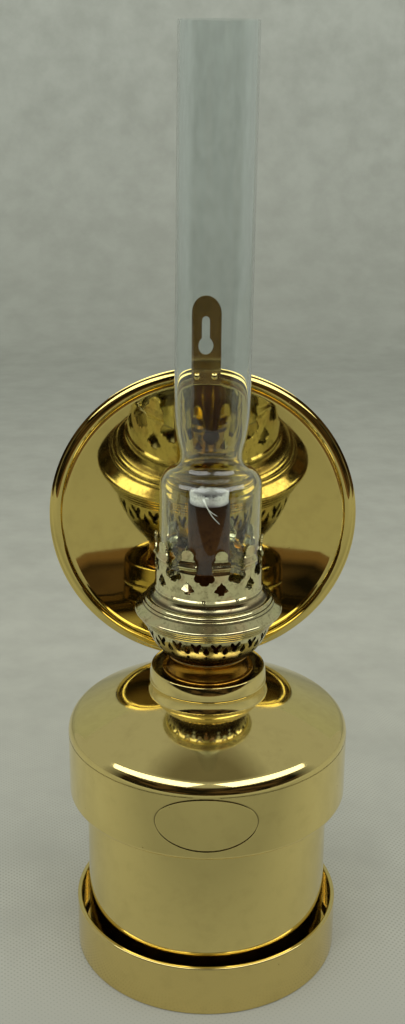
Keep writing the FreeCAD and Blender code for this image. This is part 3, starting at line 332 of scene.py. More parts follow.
# Burner brass worn pale, with coppery patches and grainy stains that heat and oil leave.
PALE_BRASS = SpunMetal("burner_brass_worn_pale", "#E3DCA9", "#5A4B2C", tarnish_share=0.6, blush="#D8A67C",
                       blush_share=0.28, roughness=0.06, smudge=0.14, stain_mm=2.6, pit_mm=2.2,
                       pit_size=0.09, wave_mm=7.0, wave_depth_mm=0.006, ring_mm=1.4)
# Neck brass that heat has turned a deep golden brown under a thin oxide.
HEATED_BRASS = SpunMetal("neck_brass_heat_toned", "#B98A32", "#3E2610", tarnish_share=0.7, roughness=0.14,
                         smudge=0.12, stain_mm=5.0)
# Tube brass gone brown below and black with soot near the flame: nearly matt.
DARK_BRASS = SpunMetal("wick_tube_brass_oxidised", "#7A4E24", "#2E1C0E", tarnish_share=0.6, roughness=0.36,
                       smudge=0.1, stain_mm=4.0, pit_mm=3.0, soil_and_painted_shade="#15100E", soot_low_mm=206.0,
                       soot_high_mm=229.0)
# Rolled brass of the tab, browned by age.
AGED_BRASS = SpunMetal("rolled_brass_browned", "#C9AD6B", "#4A3620", tarnish_share=0.6, roughness=0.16,
                       smudge=0.12, stain_mm=6.0)
# Turned mild steel of the spindle and the nut.
TURNED_STEEL = SpunMetal("mild_steel_turned", "#B9B6AE", "#5D5850", tarnish_share=0.3, roughness=0.28,
                         smudge=0.12, stain_mm=3.0)
# Soda-lime glass: clear, with a cool edge.
CHIMNEY_GLASS = DrawnGlass("soda_lime_glass_drawn")
# Cotton yarn: white and matt, greyer and scorched by the flame.
WICK_COTTON = WovenCotton("cotton_wick_plaited")


# ------------------------------------------------------------------ surfaces

def traced(steps: Outline, closed: bool = True, arc_step: float = 4.0) -> Array:
    """Points along an outline of straight runs and arcs.

    An arc of radius R from a to b has its centre at the middle of the chord plus the chord's left normal, or
    its right one where R is below zero, times sqrt(R^2 - (|b - a| / 2)^2). A straight run gets a point just
    inside each end, so that the rounding next to it doesn't tilt its shading.

    Args:
        steps: (across, up), or (across, up, radius) for an arc that arrives there.
        closed: whether the last point joins the first.
        arc_step: largest angle between two points of an arc, in degrees.

    Returns:
        Points of shape (n, 2).
    """
    places = np.array([step[:2] for step in steps], float)
    points: list[Array] = []
    for index, step in enumerate(steps):
        if index == 0 and not closed:
            points.append(places[:1])
            continue
        start, end = places[index - 1], places[index]
        chord = end - start
        length = float(np.hypot(*chord))
        if len(step) == 2:
            inset = min(0.25, length / 4) / length
            shares = np.array([inset, 1 - inset, 1.0])[:, None]
            points.append(start + shares * chord)
            continue
        bend, side = abs(step[2]), math.copysign(1.0, step[2])
        normal = np.array([-chord[1], chord[0]]) / length * side
        centre = (start + end) / 2 + normal * math.sqrt(max(bend ** 2 - (length / 2) ** 2, 0.0))
        first = math.atan2(*(start - centre)[::-1])
        sweep = side * 2 * math.asin(min(length / 2 / bend, 1.0))
        count = max(2, math.ceil(abs(math.degrees(sweep)) / arc_step))
        angles = first + sweep * np.arange(1, count + 1) / count
        points.append(centre + bend * np.column_stack([np.cos(angles), np.sin(angles)]))
    return np.concatenate(points)


def grid_faces(rows: int, columns: int, wrap_rows: bool = False, wrap_columns: bool = True) -> Array:
    """Quads of a grid of rows x columns points, that face away from the axis when rows run upwards.

    Args:
        rows: number of rows.
        columns: number of points in a row.
        wrap_rows: whether the last row joins the first.
        wrap_columns: whether each row's last point joins its first.

    Returns:
        Vertex numbers of shape (n, 4).
    """
    down = np.arange(rows if wrap_rows else rows - 1)[:, None]
    side = np.arange(columns if wrap_columns else columns - 1)[None, :]
    up, right = (down + 1) % rows, (side + 1) % columns
    corners = [down * columns + side, down * columns + right, up * columns + right, up * columns + side]
    return np.stack([c.ravel() for c in np.broadcast_arrays(*corners)], axis=1)


def spun(profile: Array, closed: bool = True, turns: int = TURNS, angles: Optional[Array] = None,
         shift: Optional[Callable[[Array, Array], Array]] = None) -> Mesh:
    """Surface of revolution: (r, z) turned by an angle t is (r cos t, r sin t, z).

    Args:
        profile: points (r, z); a closed one rounds a wall, an open one starts and ends on the axis.
        closed: whether the profile is a loop.
        turns: number of columns round the axis.
        angles: the columns' own angles, in place of evenly spaced ones.
        shift: function of the radii's grid rows and angles that gives a change of radius.

    Returns:
        Vertices of shape (n, 3) and faces.
    """
    around = np.arange(turns) * TAU / turns if angles is None else angles
    radius = np.repeat(profile[:, :1], len(around), axis=1)
    height = np.repeat(profile[:, 1:], len(around), axis=1)
    if shift is not None:
        radius = radius + shift(height, np.broadcast_to(around, radius.shape))
    points = np.stack([radius * np.cos(around), radius * np.sin(around), height], axis=2)
    if closed:
        return points.reshape(-1, 3), grid_faces(len(profile), len(around), wrap_rows=True).tolist()
    body = points[1:-1].reshape(-1, 3)
    faces = grid_faces(len(profile) - 2, len(around)).tolist()
    low, high = len(body), len(body) + 1
    last = (len(profile) - 3) * len(around)
    step = np.arange(len(around))
    follow = (step + 1) % len(around)
    faces += np.stack([np.full_like(step, low), follow, step], axis=1).tolist()
    faces += np.stack([np.full_like(step, high), last + step, last + follow], axis=1).tolist()
    return np.vstack([body, points[0, :1], points[-1, :1]]), faces


def forward(vertices: Array, y: float, z: float, x: float = 0.0) -> Array:
    """Turn a piece spun on the z axis so that its top faces -y, and move its foot to (x, y, z)."""
    return np.column_stack([vertices[:, 0] + x, y - vertices[:, 2], z + vertices[:, 1]])


def inside(points: Array, polygon: Array) -> Array:
    """Which points lie in a polygon: a ray to the right crosses its edges an odd number of times.

    Args:
        points: points of shape (n, 2).
        polygon: its corners, of shape (m, 2).

    Returns:
        A truth value for each point.
    """
    x, y = points[:, :1], points[:, 1:]
    ax, ay = polygon[:, 0], polygon[:, 1]
    bx, by = np.roll(ax, -1), np.roll(ay, -1)
    crosses = (ay > y) != (by > y)
    safe = np.where(by == ay, 1.0, by - ay)
    return (crosses & (x < ax + (y - ay) * (bx - ax) / safe)).sum(axis=1) % 2 == 1


def oriented(flat: Array, triangles: Array) -> Array:
    """Triangles of a flat pattern turned so that all run left: those with a negative area are reversed.

    Args:
        flat: points of shape (n, 2).
        triangles: their numbers, three a row.

    Returns:
        Triangles in the same order.
    """
    first, second = flat[triangles[:, 1]] - flat[triangles[:, 0]], flat[triangles[:, 2]] - flat[triangles[:, 0]]
    area = first[:, 0] * second[:, 1] - first[:, 1] * second[:, 0]
    return np.where((area < 0)[:, None], triangles[:, ::-1], triangles)


def both_sides(half: Outline, arc_step: float = 15.0) -> Array:
    """Closed loop from its right half, which starts and ends at u = 0.

    Args:
        half: outline of the right half.
        arc_step: largest angle between two points of an arc, in degrees.

    Returns:
        Points of the whole loop.
    """
    right = traced(half, closed=False, arc_step=arc_step)
    return np.vstack([right, right[1:-1][::-1] * MIRRORED])


def divided(points: Array, longest: float) -> Array:
    """Open path with extra points.

    Args:
        points: the path's corners.
        longest: length that no run may pass.

    Returns:
        Points of the path.
    """
    pieces = [points[:1]]
    for start, end in zip(points[:-1], points[1:]):
        count = max(1, math.ceil(float(np.hypot(*(end - start))) / longest))
        pieces.append(start + (end - start) * (np.arange(1, count + 1) / count)[:, None])
    return np.concatenate(pieces)


def closed_sheet(skins: list[Array], triangles: Array) -> Mesh:
    """Join an outer and an inner skin by a wall along every edge that only one triangle has.

    Args:
        skins: outer and inner points, in the same order.
        triangles: triangles of the outer skin.

    Returns:
        Vertices and faces.
    """
    sides = np.concatenate([triangles[:, [0, 1]], triangles[:, [1, 2]], triangles[:, [2, 0]]])
    _, first, seen = np.unique(np.sort(sides, axis=1), axis=0, return_index=True, return_counts=True)
    rim = sides[first[seen == 1]]
    total = len(skins[0])
    walls = np.column_stack([rim[:, 1], rim[:, 0], rim[:, 0] + total, rim[:, 1] + total])
    return np.vstack(skins), triangles.tolist() + (triangles[:, ::-1] + total).tolist() + walls.tolist()


@dataclass
class PiercedSheet:
    """Sheet wall with piercings, worked out in one sector and repeated round the axis.

    The sector is a flat pattern (u, z): u is the length round the axis at reach_mm, and z is the height. Its
    triangles are wrapped on radius(z), and again one sheet thickness further in; walls close every edge.
    """

    count: int
    reach_mm: float
    sheet_mm: float
    radius: Callable[[Array], Array]
    border: Array
    holes: list[Array]
    grain_mm: float = 0.6
    first_angle: float = 0.0

    def flat(self) -> tuple[Array, Array]:
        """Triangulated sector.

        Returns:
            Points (u, z) and triangles.
        """
        loops = [self.border] + self.holes
        low, high = self.border.min(0), self.border.max(0)
        across = np.arange(low[0], high[0], self.grain_mm) + self.grain_mm / 2
        upward = np.arange(low[1], high[1], self.grain_mm) + self.grain_mm / 2
        filling = np.stack(np.meshgrid(across, upward), axis=2).reshape(-1, 2)
        keep = inside(filling, self.border)
        for hole in self.holes:
            keep &= ~inside(filling, hole)
        edge = np.concatenate(loops)
        gap = np.sqrt(((filling[:, None] - edge[None]) ** 2).sum(2)).min(1)
        filling = filling[keep & (gap > self.grain_mm * 0.45)]
        numbers, edges = 0, []
        for loop in loops:
            edges += [(numbers + i, numbers + (i + 1) % len(loop)) for i in range(len(loop))]
            numbers += len(loop)
        coords = [Vector(p) for p in np.vstack([edge, filling]).tolist()]
        verts, _, faces, *_ = delaunay_2d_cdt(coords, edges, [], 0, 1e-6)
        points = np.array([tuple(v) for v in verts])
        triangles = np.array(faces)
        middle = points[triangles].mean(1)
        keep = inside(middle, self.border)
        for hole in self.holes:
            keep &= ~inside(middle, hole)
        return points, triangles[keep]

    def build(self) -> Mesh:
        """Wrap the sectors, give them thickness and close the edges.

        Returns:
            Vertices of shape (n, 3) and faces.
        """
        flat, triangles = self.flat()
        triangles = oriented(flat, triangles)
        step = TAU / self.count
        angle = (flat[:, 0] / self.reach_mm)[None, :] + step * np.arange(self.count)[:, None]
        angle = np.mod(np.round(angle.ravel(), 7), round(TAU, 7))
        angle = np.where(angle > TAU - 1e-5, 0.0, angle)
        key = np.round(np.column_stack([angle, np.tile(flat[:, 1], self.count)]), 5)
        unique, number = np.unique(key, axis=0, return_inverse=True)
        number = number.reshape(-1)
        whole = (triangles[None] + len(flat) * np.arange(self.count)[:, None, None]).reshape(-1, 3)
        whole = number[whole]
        turn, height = unique[:, 0] + self.first_angle, unique[:, 1]
        small = 0.01
        slope = (self.radius(height + small) - self.radius(height - small)) / (2 * small)
        length = np.sqrt(1 + slope ** 2)
        skins = []
        for depth in (0.0, self.sheet_mm):
            r = self.radius(height) - depth / length
            z = height + depth * slope / length
            skins.append(np.column_stack([r * np.cos(turn), r * np.sin(turn), z]))
        return closed_sheet(skins, whole)


def piece(name: str, shape: Mesh, finish: Finish, body: str, replaces: Sequence[str],
          sharp: float = 40.0, soil_and_painted_shade: Optional[Array] = None) -> bpy.types.Object:
    """Make a mesh piece, dress it and let it ride on a body.

    Args:
        name: name of the piece.
        shape: points in millimetres, and the vertex numbers of each face.
        finish: finish with a material method.
        body: body that the piece rides on.
        replaces: nodes that the piece stands for.
        sharp: angle above which an edge isn't smoothed, in degrees.
        soil_and_painted_shade: how far each point is darkened, from 0 to 1: real dirt on some pieces, painted
            shade and painted dark reflection on others.

    Returns:
        The new object.
    """
    mesh = bpy.data.meshes.new(name)
    mesh.from_pydata((shape[0] * MM).tolist(), [], shape[1])
    if soil_and_painted_shade is not None:
        mark = mesh.attributes.new("soil_and_painted_shade", "FLOAT", "POINT")
        mark.data.foreach_set("value", np.asarray(soil_and_painted_shade, np.float32))
    mesh.shade_smooth()
    mesh.set_sharp_from_angle(angle=math.radians(sharp))
    mesh.materials.append(finish.material())
    made = bpy.data.objects.new(name, mesh)
    bpy.context.scene.collection.objects.link(made)
    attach(made, body)
    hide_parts(*replaces)
    log.info("%s: %d vertices, %d faces, rides on %s", name, len(mesh.vertices), len(mesh.polygons), body)
    return made


def dress(node: str, finish: Finish) -> None:
    """Give a node of the frame its finish.

    Args:
        node: name of the node, whose mesh stays as it is.
        finish: what every one of its material slots gets.
    """
    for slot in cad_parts[node].material_slots:
        slot.material = finish.material()
    log.info("%s: finished as %s", node, finish.name)


def softened(node: str, finish: Finish, body: str, round_mm: float = 0.3) -> bpy.types.Object:
    """Stand in for a node with a copy whose doubled points are merged and whose edges are rounded.

    Args:
        node: name of the node.
        finish: its finish.
        body: body that the copy rides on.
        round_mm: width of the rounding.

    Returns:
        The new object.
    """
    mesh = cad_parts[node].data.copy()
    mesh.name = node + "_rounded"
    made = bpy.data.objects.new(mesh.name, mesh)
    bpy.context.scene.collection.objects.link(made)
    weld = made.modifiers.new("merged", "WELD")
    weld.merge_threshold = 1e-6
    flat = made.modifiers.new("flat_faces", "DECIMATE")
    flat.decimate_type = "DISSOLVE"
    flat.angle_limit = math.radians(1.0)
    bevel = made.modifiers.new("rounded_edges", "BEVEL")
    bevel.width = round_mm * MM
    bevel.segments = 3
    bevel.limit_method = "ANGLE"
    bevel.angle_limit = math.radians(35)
    evaluated = made.evaluated_get(bpy.context.evaluated_depsgraph_get())
    final = bpy.data.meshes.new_from_object(evaluated)
    made.modifiers.clear()
    made.data = final
    final.materials.clear()
    final.materials.append(finish.material())
    final.shade_smooth()
    final.set_sharp_from_angle(angle=math.radians(40))
    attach(made, body)
    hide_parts(node)
    log.info("%s: %d faces, rides on %s", made.name, len(final.polygons), body)
    return made


# ------------------------------------------------------------------ sub-assemblies

@dataclass
class Holder:
    """Base cup, back strap, reflector with its tab, and the fasteners between them."""

    cup: Outline = ((0, 0), (63.1, 0), (63.9, 0.8, 0.8), (63.9, 24.6), (63.1, 25.4, 0.8),
                    (62.5, 25.4), (61.7, 24.6, 0.8), (61.7, 3.8), (60.2, 2.3, -1.5), (0, 2.3))
    mirror: Outline = ((0, -0.8), (68.5, 5.953, 350.8), (70.5, 6.319), (71.4, 6.519),
                       (78.2, 6.369, -4.5), (79.0, 6.369), (75.1, 6.45, 3.9),
                       (70.0, 7.07, 8.4), (0, 0, -350.0))
    mirror_x: float = 0.12
    mirror_y: float = 86.0
    mirror_z: float = 192.6
    mirror_turn: float = -1.1
    mirror_share: float = 0.9998
    dome: Outline = ((0, -1.25), (2.0, 0, 2.225), (1.1, 0), (1.1, 4.35), (2.0, 4.35),
                     (0, 5.6, 2.225))
    tab: Outline = ((9.0, 264.1), (9.0, 299.2), (0.0, 308.2, 9.0), (-9.0, 299.2, 9.0),
                    (-9.0, 264.1))
    keyhole: Outline = ((0.0, 279.2, 4.4), (4.4, 283.6, 4.4), (2.325, 287.336, 4.4),
                        (2.325, 295.875), (0.0, 298.2, 2.325), (-2.325, 295.875, 2.325),
                        (-2.325, 287.336), (-4.4, 283.6, 4.4))
    tab_front: float = 74.75
    tab_sheet: float = 1.2
    tab_set: float = 1.75
    tab_bend: tuple[float, float] = (278.0, 270.0)
    tab_grain: float = 1.2
    rivet_x: float = 5.25
    rivet_y: float = 80.77
    rivet_z: float = 267.9

    def build_reflector(self) -> None:
        """Spin the reflector, stand it up, and turn it a little about the vertical, as it hangs."""
        vertices, faces = spun(traced(self.mirror, closed=False, arc_step=1.0), closed=False, turns=300)
        placed = forward(vertices, 0.0, self.mirror_z)
        turn = math.radians(self.mirror_turn)
        swung = placed[:, :2] @ np.array([[math.cos(turn), math.sin(turn)], [-math.sin(turn), math.cos(turn)]])
        placed[:, :2] = swung * [self.mirror_share, 1.0] + [self.mirror_x, self.mirror_y]
        piece("reflector_spun", (placed, faces), MIRROR_BRASS, "holder", ["reflector"])

    def build_rivets(self) -> None:
        """Head the two rivets of the tab on both sides."""
        vertices, faces = spun(traced(self.dome, closed=False, arc_step=10.0), closed=False, turns=32)
        pair = [forward(vertices, self.rivet_y, self.rivet_z, x) for x in (-self.rivet_x, self.rivet_x)]
        faces = faces + [[n + len(vertices) for n in face] for face in faces]
        piece("tab_rivets_domed", (np.vstack(pair), faces), POLISHED_BRASS, "holder",
              ["tab_rivets"])

    def build_tab(self) -> None:
        """Cut the tab with its keyhole, and set its foot back on the rim.

        The set is tab_set * (1 - cos(pi t)) / 2, t going from 0 at the bend's top to 1 at its foot.
        """
        border = divided(traced(self.tab, arc_step=8.0), self.tab_grain)
        keyhole = divided(traced(self.keyhole, arc_step=12.0), self.tab_grain)
        flat, triangles = PiercedSheet(1, 1.0, self.tab_sheet, np.zeros_like, border, [keyhole], 1.4).flat()
        top, foot = self.tab_bend
        share = np.clip((top - flat[:, 1]) / (top - foot), 0, 1)
        back = self.tab_set * (1 - np.cos(math.pi * share)) / 2
        skins = [np.column_stack([flat[:, 0], self.tab_front + depth + back, flat[:, 1]])
                 for depth in (0.0, self.tab_sheet)]
        piece("hanging_tab_cut", closed_sheet(skins, oriented(flat, triangles)), AGED_BRASS, "holder",
              ["hanging_tab"], sharp=50.0)

    def build(self) -> None:
        """Build every piece of the holder."""
        piece("base_cup_spun", spun(traced(self.cup, closed=False), closed=False), CUP_BRASS, "holder",
              ["base_cup"])
        self.build_reflector()
        self.build_rivets()
        self.build_tab()
        softened("back_strap", POLISHED_BRASS, "holder", 0.4)
        dress("strap_rivets", POLISHED_BRASS)
        dress("reflector_screw", POLISHED_BRASS)
        dress("reflector_nut", TURNED_STEEL)


@dataclass
class Font:
    """Lift-out oil font: lower drum, domed upper body and soldered collar."""

    drum: Outline = ((0, 2.35), (56.1, 2.35), (57.9, 4.15, 1.8), (57.9, 87.4), (57.0, 87.4),
                     (57.0, 4.15), (56.1, 3.25, -0.9), (0, 3.25))
    top: Outline = ((57.98, 84.0), (63.9, 84.0), (66.1, 86.2, 2.2), (66.1, 115.6),
                    (61.623, 122.906, 8.2), (28.607, 135.361, 160.0),
                    (26.35, 138.268, -3.0), (26.35, 142.788), (25.45, 142.788), (25.45, 138.268),
                    (28.384, 134.489, 3.9), (61.214, 122.104, -159.1),
                    (65.2, 115.6, -7.3), (65.2, 86.2), (63.9, 84.9, -1.3), (57.98, 84.9))
    collar: Outline = ((27.75, 135.7), (27.2, 139.6, -14.1), (27.2, 140.9), (27.35, 141.25), (27.25, 141.6),
                       (27.2, 143.0), (26.5, 147.7, 15.0), (26.0, 148.068, 0.5),
                       (25.3, 147.3, 0.8), (25.3, 144.068), (21.75, 144.068), (21.75, 145.968),
                       (19.55, 145.968), (19.55, 137.468), (20.65, 137.468), (20.65, 142.868),
                       (26.43, 142.868), (26.43, 137.768), (27.2, 136.1))
    recess_radius: float = 25.5
    wall_radius: float = 66.1
    oval_half_width: float = 23.2
    oval_half_height: float = 13.0
    oval_z: float = 102.0
    oval_angle: float = -92.4
    oval_line: float = 0.3
    oval_depth: float = 0.24

    def groove(self, height: Array, angle: Array) -> Array:
        """Depth of the engraved oval: depth * exp(-(d / line)^2), d being the distance to the ellipse.

        The distance is |q - 1| * |p| / q along the ray from the middle to the point p = (x, z), with
        q = sqrt((x / a)^2 + (z / b)^2), a and b being the half width and the half height.

        Args:
            height: height of each point.
            angle: angle of each point round the axis.

        Returns:
            Change of radius, below zero in the line.
        """
        x = (angle - math.radians(self.oval_angle)) * self.wall_radius
        z = height - self.oval_z
        q = np.sqrt((x / self.oval_half_width) ** 2 + (z / self.oval_half_height) ** 2) + 1e-9
        distance = np.abs(q - 1) * np.hypot(x, z) / q
        return -self.oval_depth * np.exp(-(distance / self.oval_line) ** 2)

    def build(self) -> None:
        """Build the drum, the upper body with its engraved oval, and the collar."""
        piece("font_drum_spun", spun(traced(self.drum, closed=False), closed=False), POLISHED_BRASS, "font",
              ["font_drum"])
        self.build_top()
        vertices, faces = spun(traced(self.collar, arc_step=12.0))
        # The recess inside the collar is darkened.
        radius = np.hypot(vertices[:, 0], vertices[:, 1])
        soil_and_painted_shade = np.clip((self.recess_radius - radius) / 0.3, 0, 1) * 0.85
        piece("font_collar_turned", (vertices, faces), POLISHED_BRASS, "font",
              ["font_collar"], soil_and_painted_shade=soil_and_painted_shade)

    def build_top(self) -> None:
        """Spin the upper body with a finer net of points where the oval is engraved."""
        profile = traced(self.top, arc_step=3.0)
        wall = self.wall_radius
        low, high = self.oval_z - self.oval_half_height - 1, self.oval_z + self.oval_half_height + 1
        cut = int(np.argmax((profile[:, 0] > wall - 0.01) & (profile[:, 1] > low)))
        rows = np.column_stack([np.full(110, wall), np.linspace(low, high, 110)])
        profile = np.vstack([profile[:cut], rows, profile[cut:]])
        wide = (self.oval_half_width + 1) / wall
        fine = np.linspace(-wide, wide, 220)
        coarse = np.linspace(wide, TAU - wide, 170)[1:-1]
        angles = np.concatenate([fine, coarse]) + math.radians(self.oval_angle)

        def engraved(height: Array, angle: Array) -> Array:
            """The groove's depth on the wall, and none on other rows."""
            return np.where(np.abs(profile[:, :1] - wall) < 0.01, self.groove(height, angle), 0.0)

        vertices, faces = spun(profile, angles=angles, shift=engraved)
        radius = np.hypot(vertices[:, 0], vertices[:, 1])
        on_wall = (vertices[:, 2] > low) & (vertices[:, 2] < high) & (radius > wall - 0.4)
        # Dirt fills the groove as deep as it goes.
        soil_and_painted_shade = np.where(on_wall, np.clip((wall - radius) / self.oval_depth, 0, 1), 0.0) * 0.8
        piece("font_top_spun", (vertices, faces), POLISHED_BRASS, "font", ["font_top"],
              soil_and_painted_shade=soil_and_painted_shade)


@dataclass
class Gallery:
    """Reeded flange, pierced basket, and the crown of sprung prongs that holds the glass."""

    flange: Outline = ((30.0, 172.058), (30.963, 173.458, 1.4), (31.927, 174.858, 1.4),
                       (32.89, 176.258, 1.4), (33.208, 178.325, 1.06), (30.6, 180.32),
                       (30.1, 180.708), (29.2, 181.958, 0.85), (27.6, 183.708, 1.312),
                       (24.75, 187.458, -4.2), (24.75, 187.958), (24.05, 187.958), (24.05, 187.108),
                       (26.9, 183.008, 4.9), (29.4, 180.358), (32.54, 177.53), (32.19, 176.608),
                       (29.3, 172.758), (28.6, 172.758), (28.6, 172.058))
    basket_wall: Outline = ((19.5, 155.578), (29.3, 171.978, 28.0))
    crown_wall: Outline = ((24.76, 188.038), (24.5, 189.338, 0.715), (24.5, 202.2),
                           (24.15, 203.2), (24.25, 203.8, -0.5), (24.85, 204.4),
                           (24.8, 206.0, 0.95), (24.15, 208.0), (24.4, 208.5, -0.6),
                           (24.6, 213.338))
    basket_sheet: float = 0.7
    basket_grain: float = 0.55
    basket_floor: Outline = ((16.5, 155.578), (19.6, 155.578), (19.6, 156.278), (16.5, 156.278))
    crown_sheet: float = 0.6
    crown_grain: float = 0.6
    crown_spigot: Outline = ((23.37, 185.638), (23.97, 185.638), (23.97, 188.2), (23.37, 188.2))
    forks: int = 20
    prongs: int = 10
    basket_turn: float = -4.0
    crown_turn: float = 11.2
    fork: Outline = ((0, 165.4), (1.15, 166.1), (1.15, 167.5), (2.55, 169.6), (2.3, 170.9),
                     (1.3, 170.9), (0, 169.1))
    leaf: Outline = ((0, 164.4), (0.5, 164.6), (1.4, 165.426), (1.35, 166.758), (0.6, 168.0),
                     (0, 169.4))
    lozenge: Outline = ((0, 161.778), (1.1, 162.778), (0, 163.878))
    spade: Outline = ((0, 192.238), (1.3, 192.238), (1.45, 193.262), (3.3, 193.902),
                      (2.277, 195.438, 1.6), (0.759, 197.358, 2.133), (0, 198.638))
    notch: Outline = ((0, 197.038), (2.248, 198.538, 1.605), (4.495, 200.938, 1.755),
                      (3.5, 202.9), (3.5, 205.2), (3.35, 206.2), (3.6, 207.3), (4.3, 208.0),
                      (4.9, 208.5), (4.95, 210.4))

    def build_flange(self) -> None:
        """Spin the flange."""
        vertices, faces = spun(traced(self.flange, arc_step=6.0))
        radius, height = np.hypot(vertices[:, 0], vertices[:, 1]), vertices[:, 2]
        # Polish and soot stay in the lines between the beads and at the slope's ends, darkened further as
        # painted shade. The cove is darkened as a painted dark reflection.
        lines = [0.85 * np.exp(-(np.hypot(radius - r, height - z) / 0.4) ** 2)
                 for r, z in ((30.963, 173.458), (31.927, 174.858), (32.89, 176.258), (30.1, 180.708),
                              (29.2, 181.958), (27.6, 183.708), (24.75, 187.458))]
        painted_dark_reflection_in_cove = 0.85 * np.clip(1.5 - np.abs(radius - 26.3) / 0.8, 0, 1) * (height > 183.8)
        soil_and_painted_shade = np.clip(np.max(lines + [painted_dark_reflection_in_cove], axis=0), 0.05, 1.0)
        piece("gallery_flange_spun", (vertices, faces), PALE_BRASS, "burner",
              ["gallery_flange"], soil_and_painted_shade=soil_and_painted_shade)

    def build_basket(self) -> None:
        """Pierce the bowl with forks, leaves between them and lozenges below."""
        wall = traced(self.basket_wall, closed=False, arc_step=1.0)
        (_, low), (reach, high) = wall[0], wall[-1]
        pitch = TAU * reach / self.forks
        left = -0.32 * pitch

        def radius(z: Array) -> Array:
            """Outer radius at a height."""
            return np.interp(z, wall[:, 1], wall[:, 0])

        def widened(loop: Array, shift: float) -> Array:
            """Loop as wide on the flat pattern as it is on the bowl, and moved to the side."""
            return np.column_stack([loop[:, 0] * reach / radius(loop[:, 1]) + shift, loop[:, 1]])

        holes = [widened(both_sides(self.fork), 0.0), widened(both_sides(self.leaf), pitch / 2),
                 widened(both_sides(self.lozenge), pitch / 2)]
        corners = np.array([[left, low], [left + pitch, low], [left + pitch, high], [left, high], [left, low]])
        border = divided(corners, 0.6)[:-1]
        first = math.radians(self.basket_turn + 9.0 - 90.0)
        vertices, faces = PiercedSheet(self.forks, reach, self.basket_sheet, radius, border, holes,
                                       self.basket_grain, first).build()
        skin = len(vertices) // 2
        ring, ring_faces = spun(traced(self.basket_floor), turns=120)
        faces += [[n + len(vertices) for n in f] for f in ring_faces]
        # Painted dark reflection: the bowl darkens towards its foot. Its inside is painted black as painted
        # shade, with soot.
        painted_dark_reflection_low = 0.93 * np.clip((166.5 - vertices[:skin, 2]) / 5.0, 0.05, 1)
        soil_and_painted_shade = np.concatenate([painted_dark_reflection_low, np.full(skin, 0.95), np.zeros(len(ring))])
        piece("burner_basket_pierced", (np.vstack([vertices, ring]), faces), PALE_BRASS, "burner",
              ["burner_basket"], soil_and_painted_shade=soil_and_painted_shade)

    def build_crown(self) -> None:
        """Cut the prongs, with their serrated heads, and pierce the wall with spades."""
        wall = traced(self.crown_wall, closed=False, arc_step=4.0)
        reach = 24.5
        pitch = TAU * reach / self.prongs

        def radius(z: Array) -> Array:
            """Outer radius at a height."""
            return np.interp(z, wall[:, 1], wall[:, 0])

        notch = traced(self.notch, closed=False, arc_step=12.0)
        side = divided(np.column_stack([pitch / 2 - notch[:, 0], notch[:, 1]]), 0.6)
        half = side[-1, 0]
        # The head is a half oval whose edge swells nine times: 1 + 0.09 |sin 9t|.
        turn = np.linspace(0, math.pi, 73)[1:-1]
        scallop = 1 + 0.09 * np.abs(np.sin(turn * 9))
        head = np.column_stack([half * np.cos(turn) * scallop, 210.4 + 2.65 * np.sin(turn) * scallop])
        mirror = side[::-1] * MIRRORED
        foot = divided(np.array([[-pitch / 2, 197.038], [-pitch / 2, 188.038], [pitch / 2, 188.038],
                                      [pitch / 2, 197.038]]), 0.6)
        border = np.vstack([foot[1:-1], side, head, mirror])
        first = math.radians(self.crown_turn - 90.0)
        holes = [both_sides(self.spade)]
        vertices, faces = PiercedSheet(self.prongs, reach, self.crown_sheet, radius, border, holes,
                                       self.crown_grain, first).build()
        skin = len(vertices) // 2
        ring, ring_faces = spun(traced(self.crown_spigot), turns=160)
        faces += [[n + len(vertices) for n in f] for f in ring_faces]
        vertices = np.vstack([vertices, ring])
        vertices, faces = self.add_tongues(vertices, faces)
        # Painted shade, with soot: the inside is dark below the glass, and nearly clean behind it.
        soil_and_painted_shade = np.zeros(len(vertices))
        soil_and_painted_shade[skin:2 * skin] = np.where(vertices[skin:2 * skin, 2] < 201, 0.7, 0.15)
        piece("gallery_crown_pierced", (vertices, faces), PALE_BRASS, "burner",
              ["gallery_crown"], soil_and_painted_shade=soil_and_painted_shade)

    def add_tongues(self, vertices: Array, faces: list[list[int]]) -> Mesh:
        """Add the tongues that the glass stands on: rounded strips from the wall towards the axis.

        Args:
            vertices: points of the crown.
            faces: its faces, which get the tongues' own.

        Returns:
            Vertices and faces of both.
        """
        turn = np.linspace(0, math.pi, 9)
        tongue = np.vstack([[[23.95, -1.6]], np.column_stack([22.2 - 1.6 * np.sin(turn), -1.6 * np.cos(turn)]),
                            [[23.95, 1.6]]])
        count = len(tongue)
        for number in range(self.prongs):
            angle = math.radians(self.crown_turn - 90.0) + TAU * number / self.prongs
            x = tongue[:, 0] * math.cos(angle) - tongue[:, 1] * math.sin(angle)
            y = tongue[:, 0] * math.sin(angle) + tongue[:, 1] * math.cos(angle)
            start = len(vertices)
            for z in (200.838, 201.438):
                vertices = np.vstack([vertices, np.column_stack([x, y, np.full(count, z)])])
            faces.append([start + i for i in range(count)])
            faces.append([start + count + i for i in reversed(range(count))])
            faces += [[start + (i + 1) % count, start + i, start + count + i, start + count + (i + 1) % count]
                      for i in range(count)]
        return vertices, faces

    def build(self) -> None:
        """Build the whole gallery."""
        self.build_flange()
        self.build_basket()
        self.build_crown()


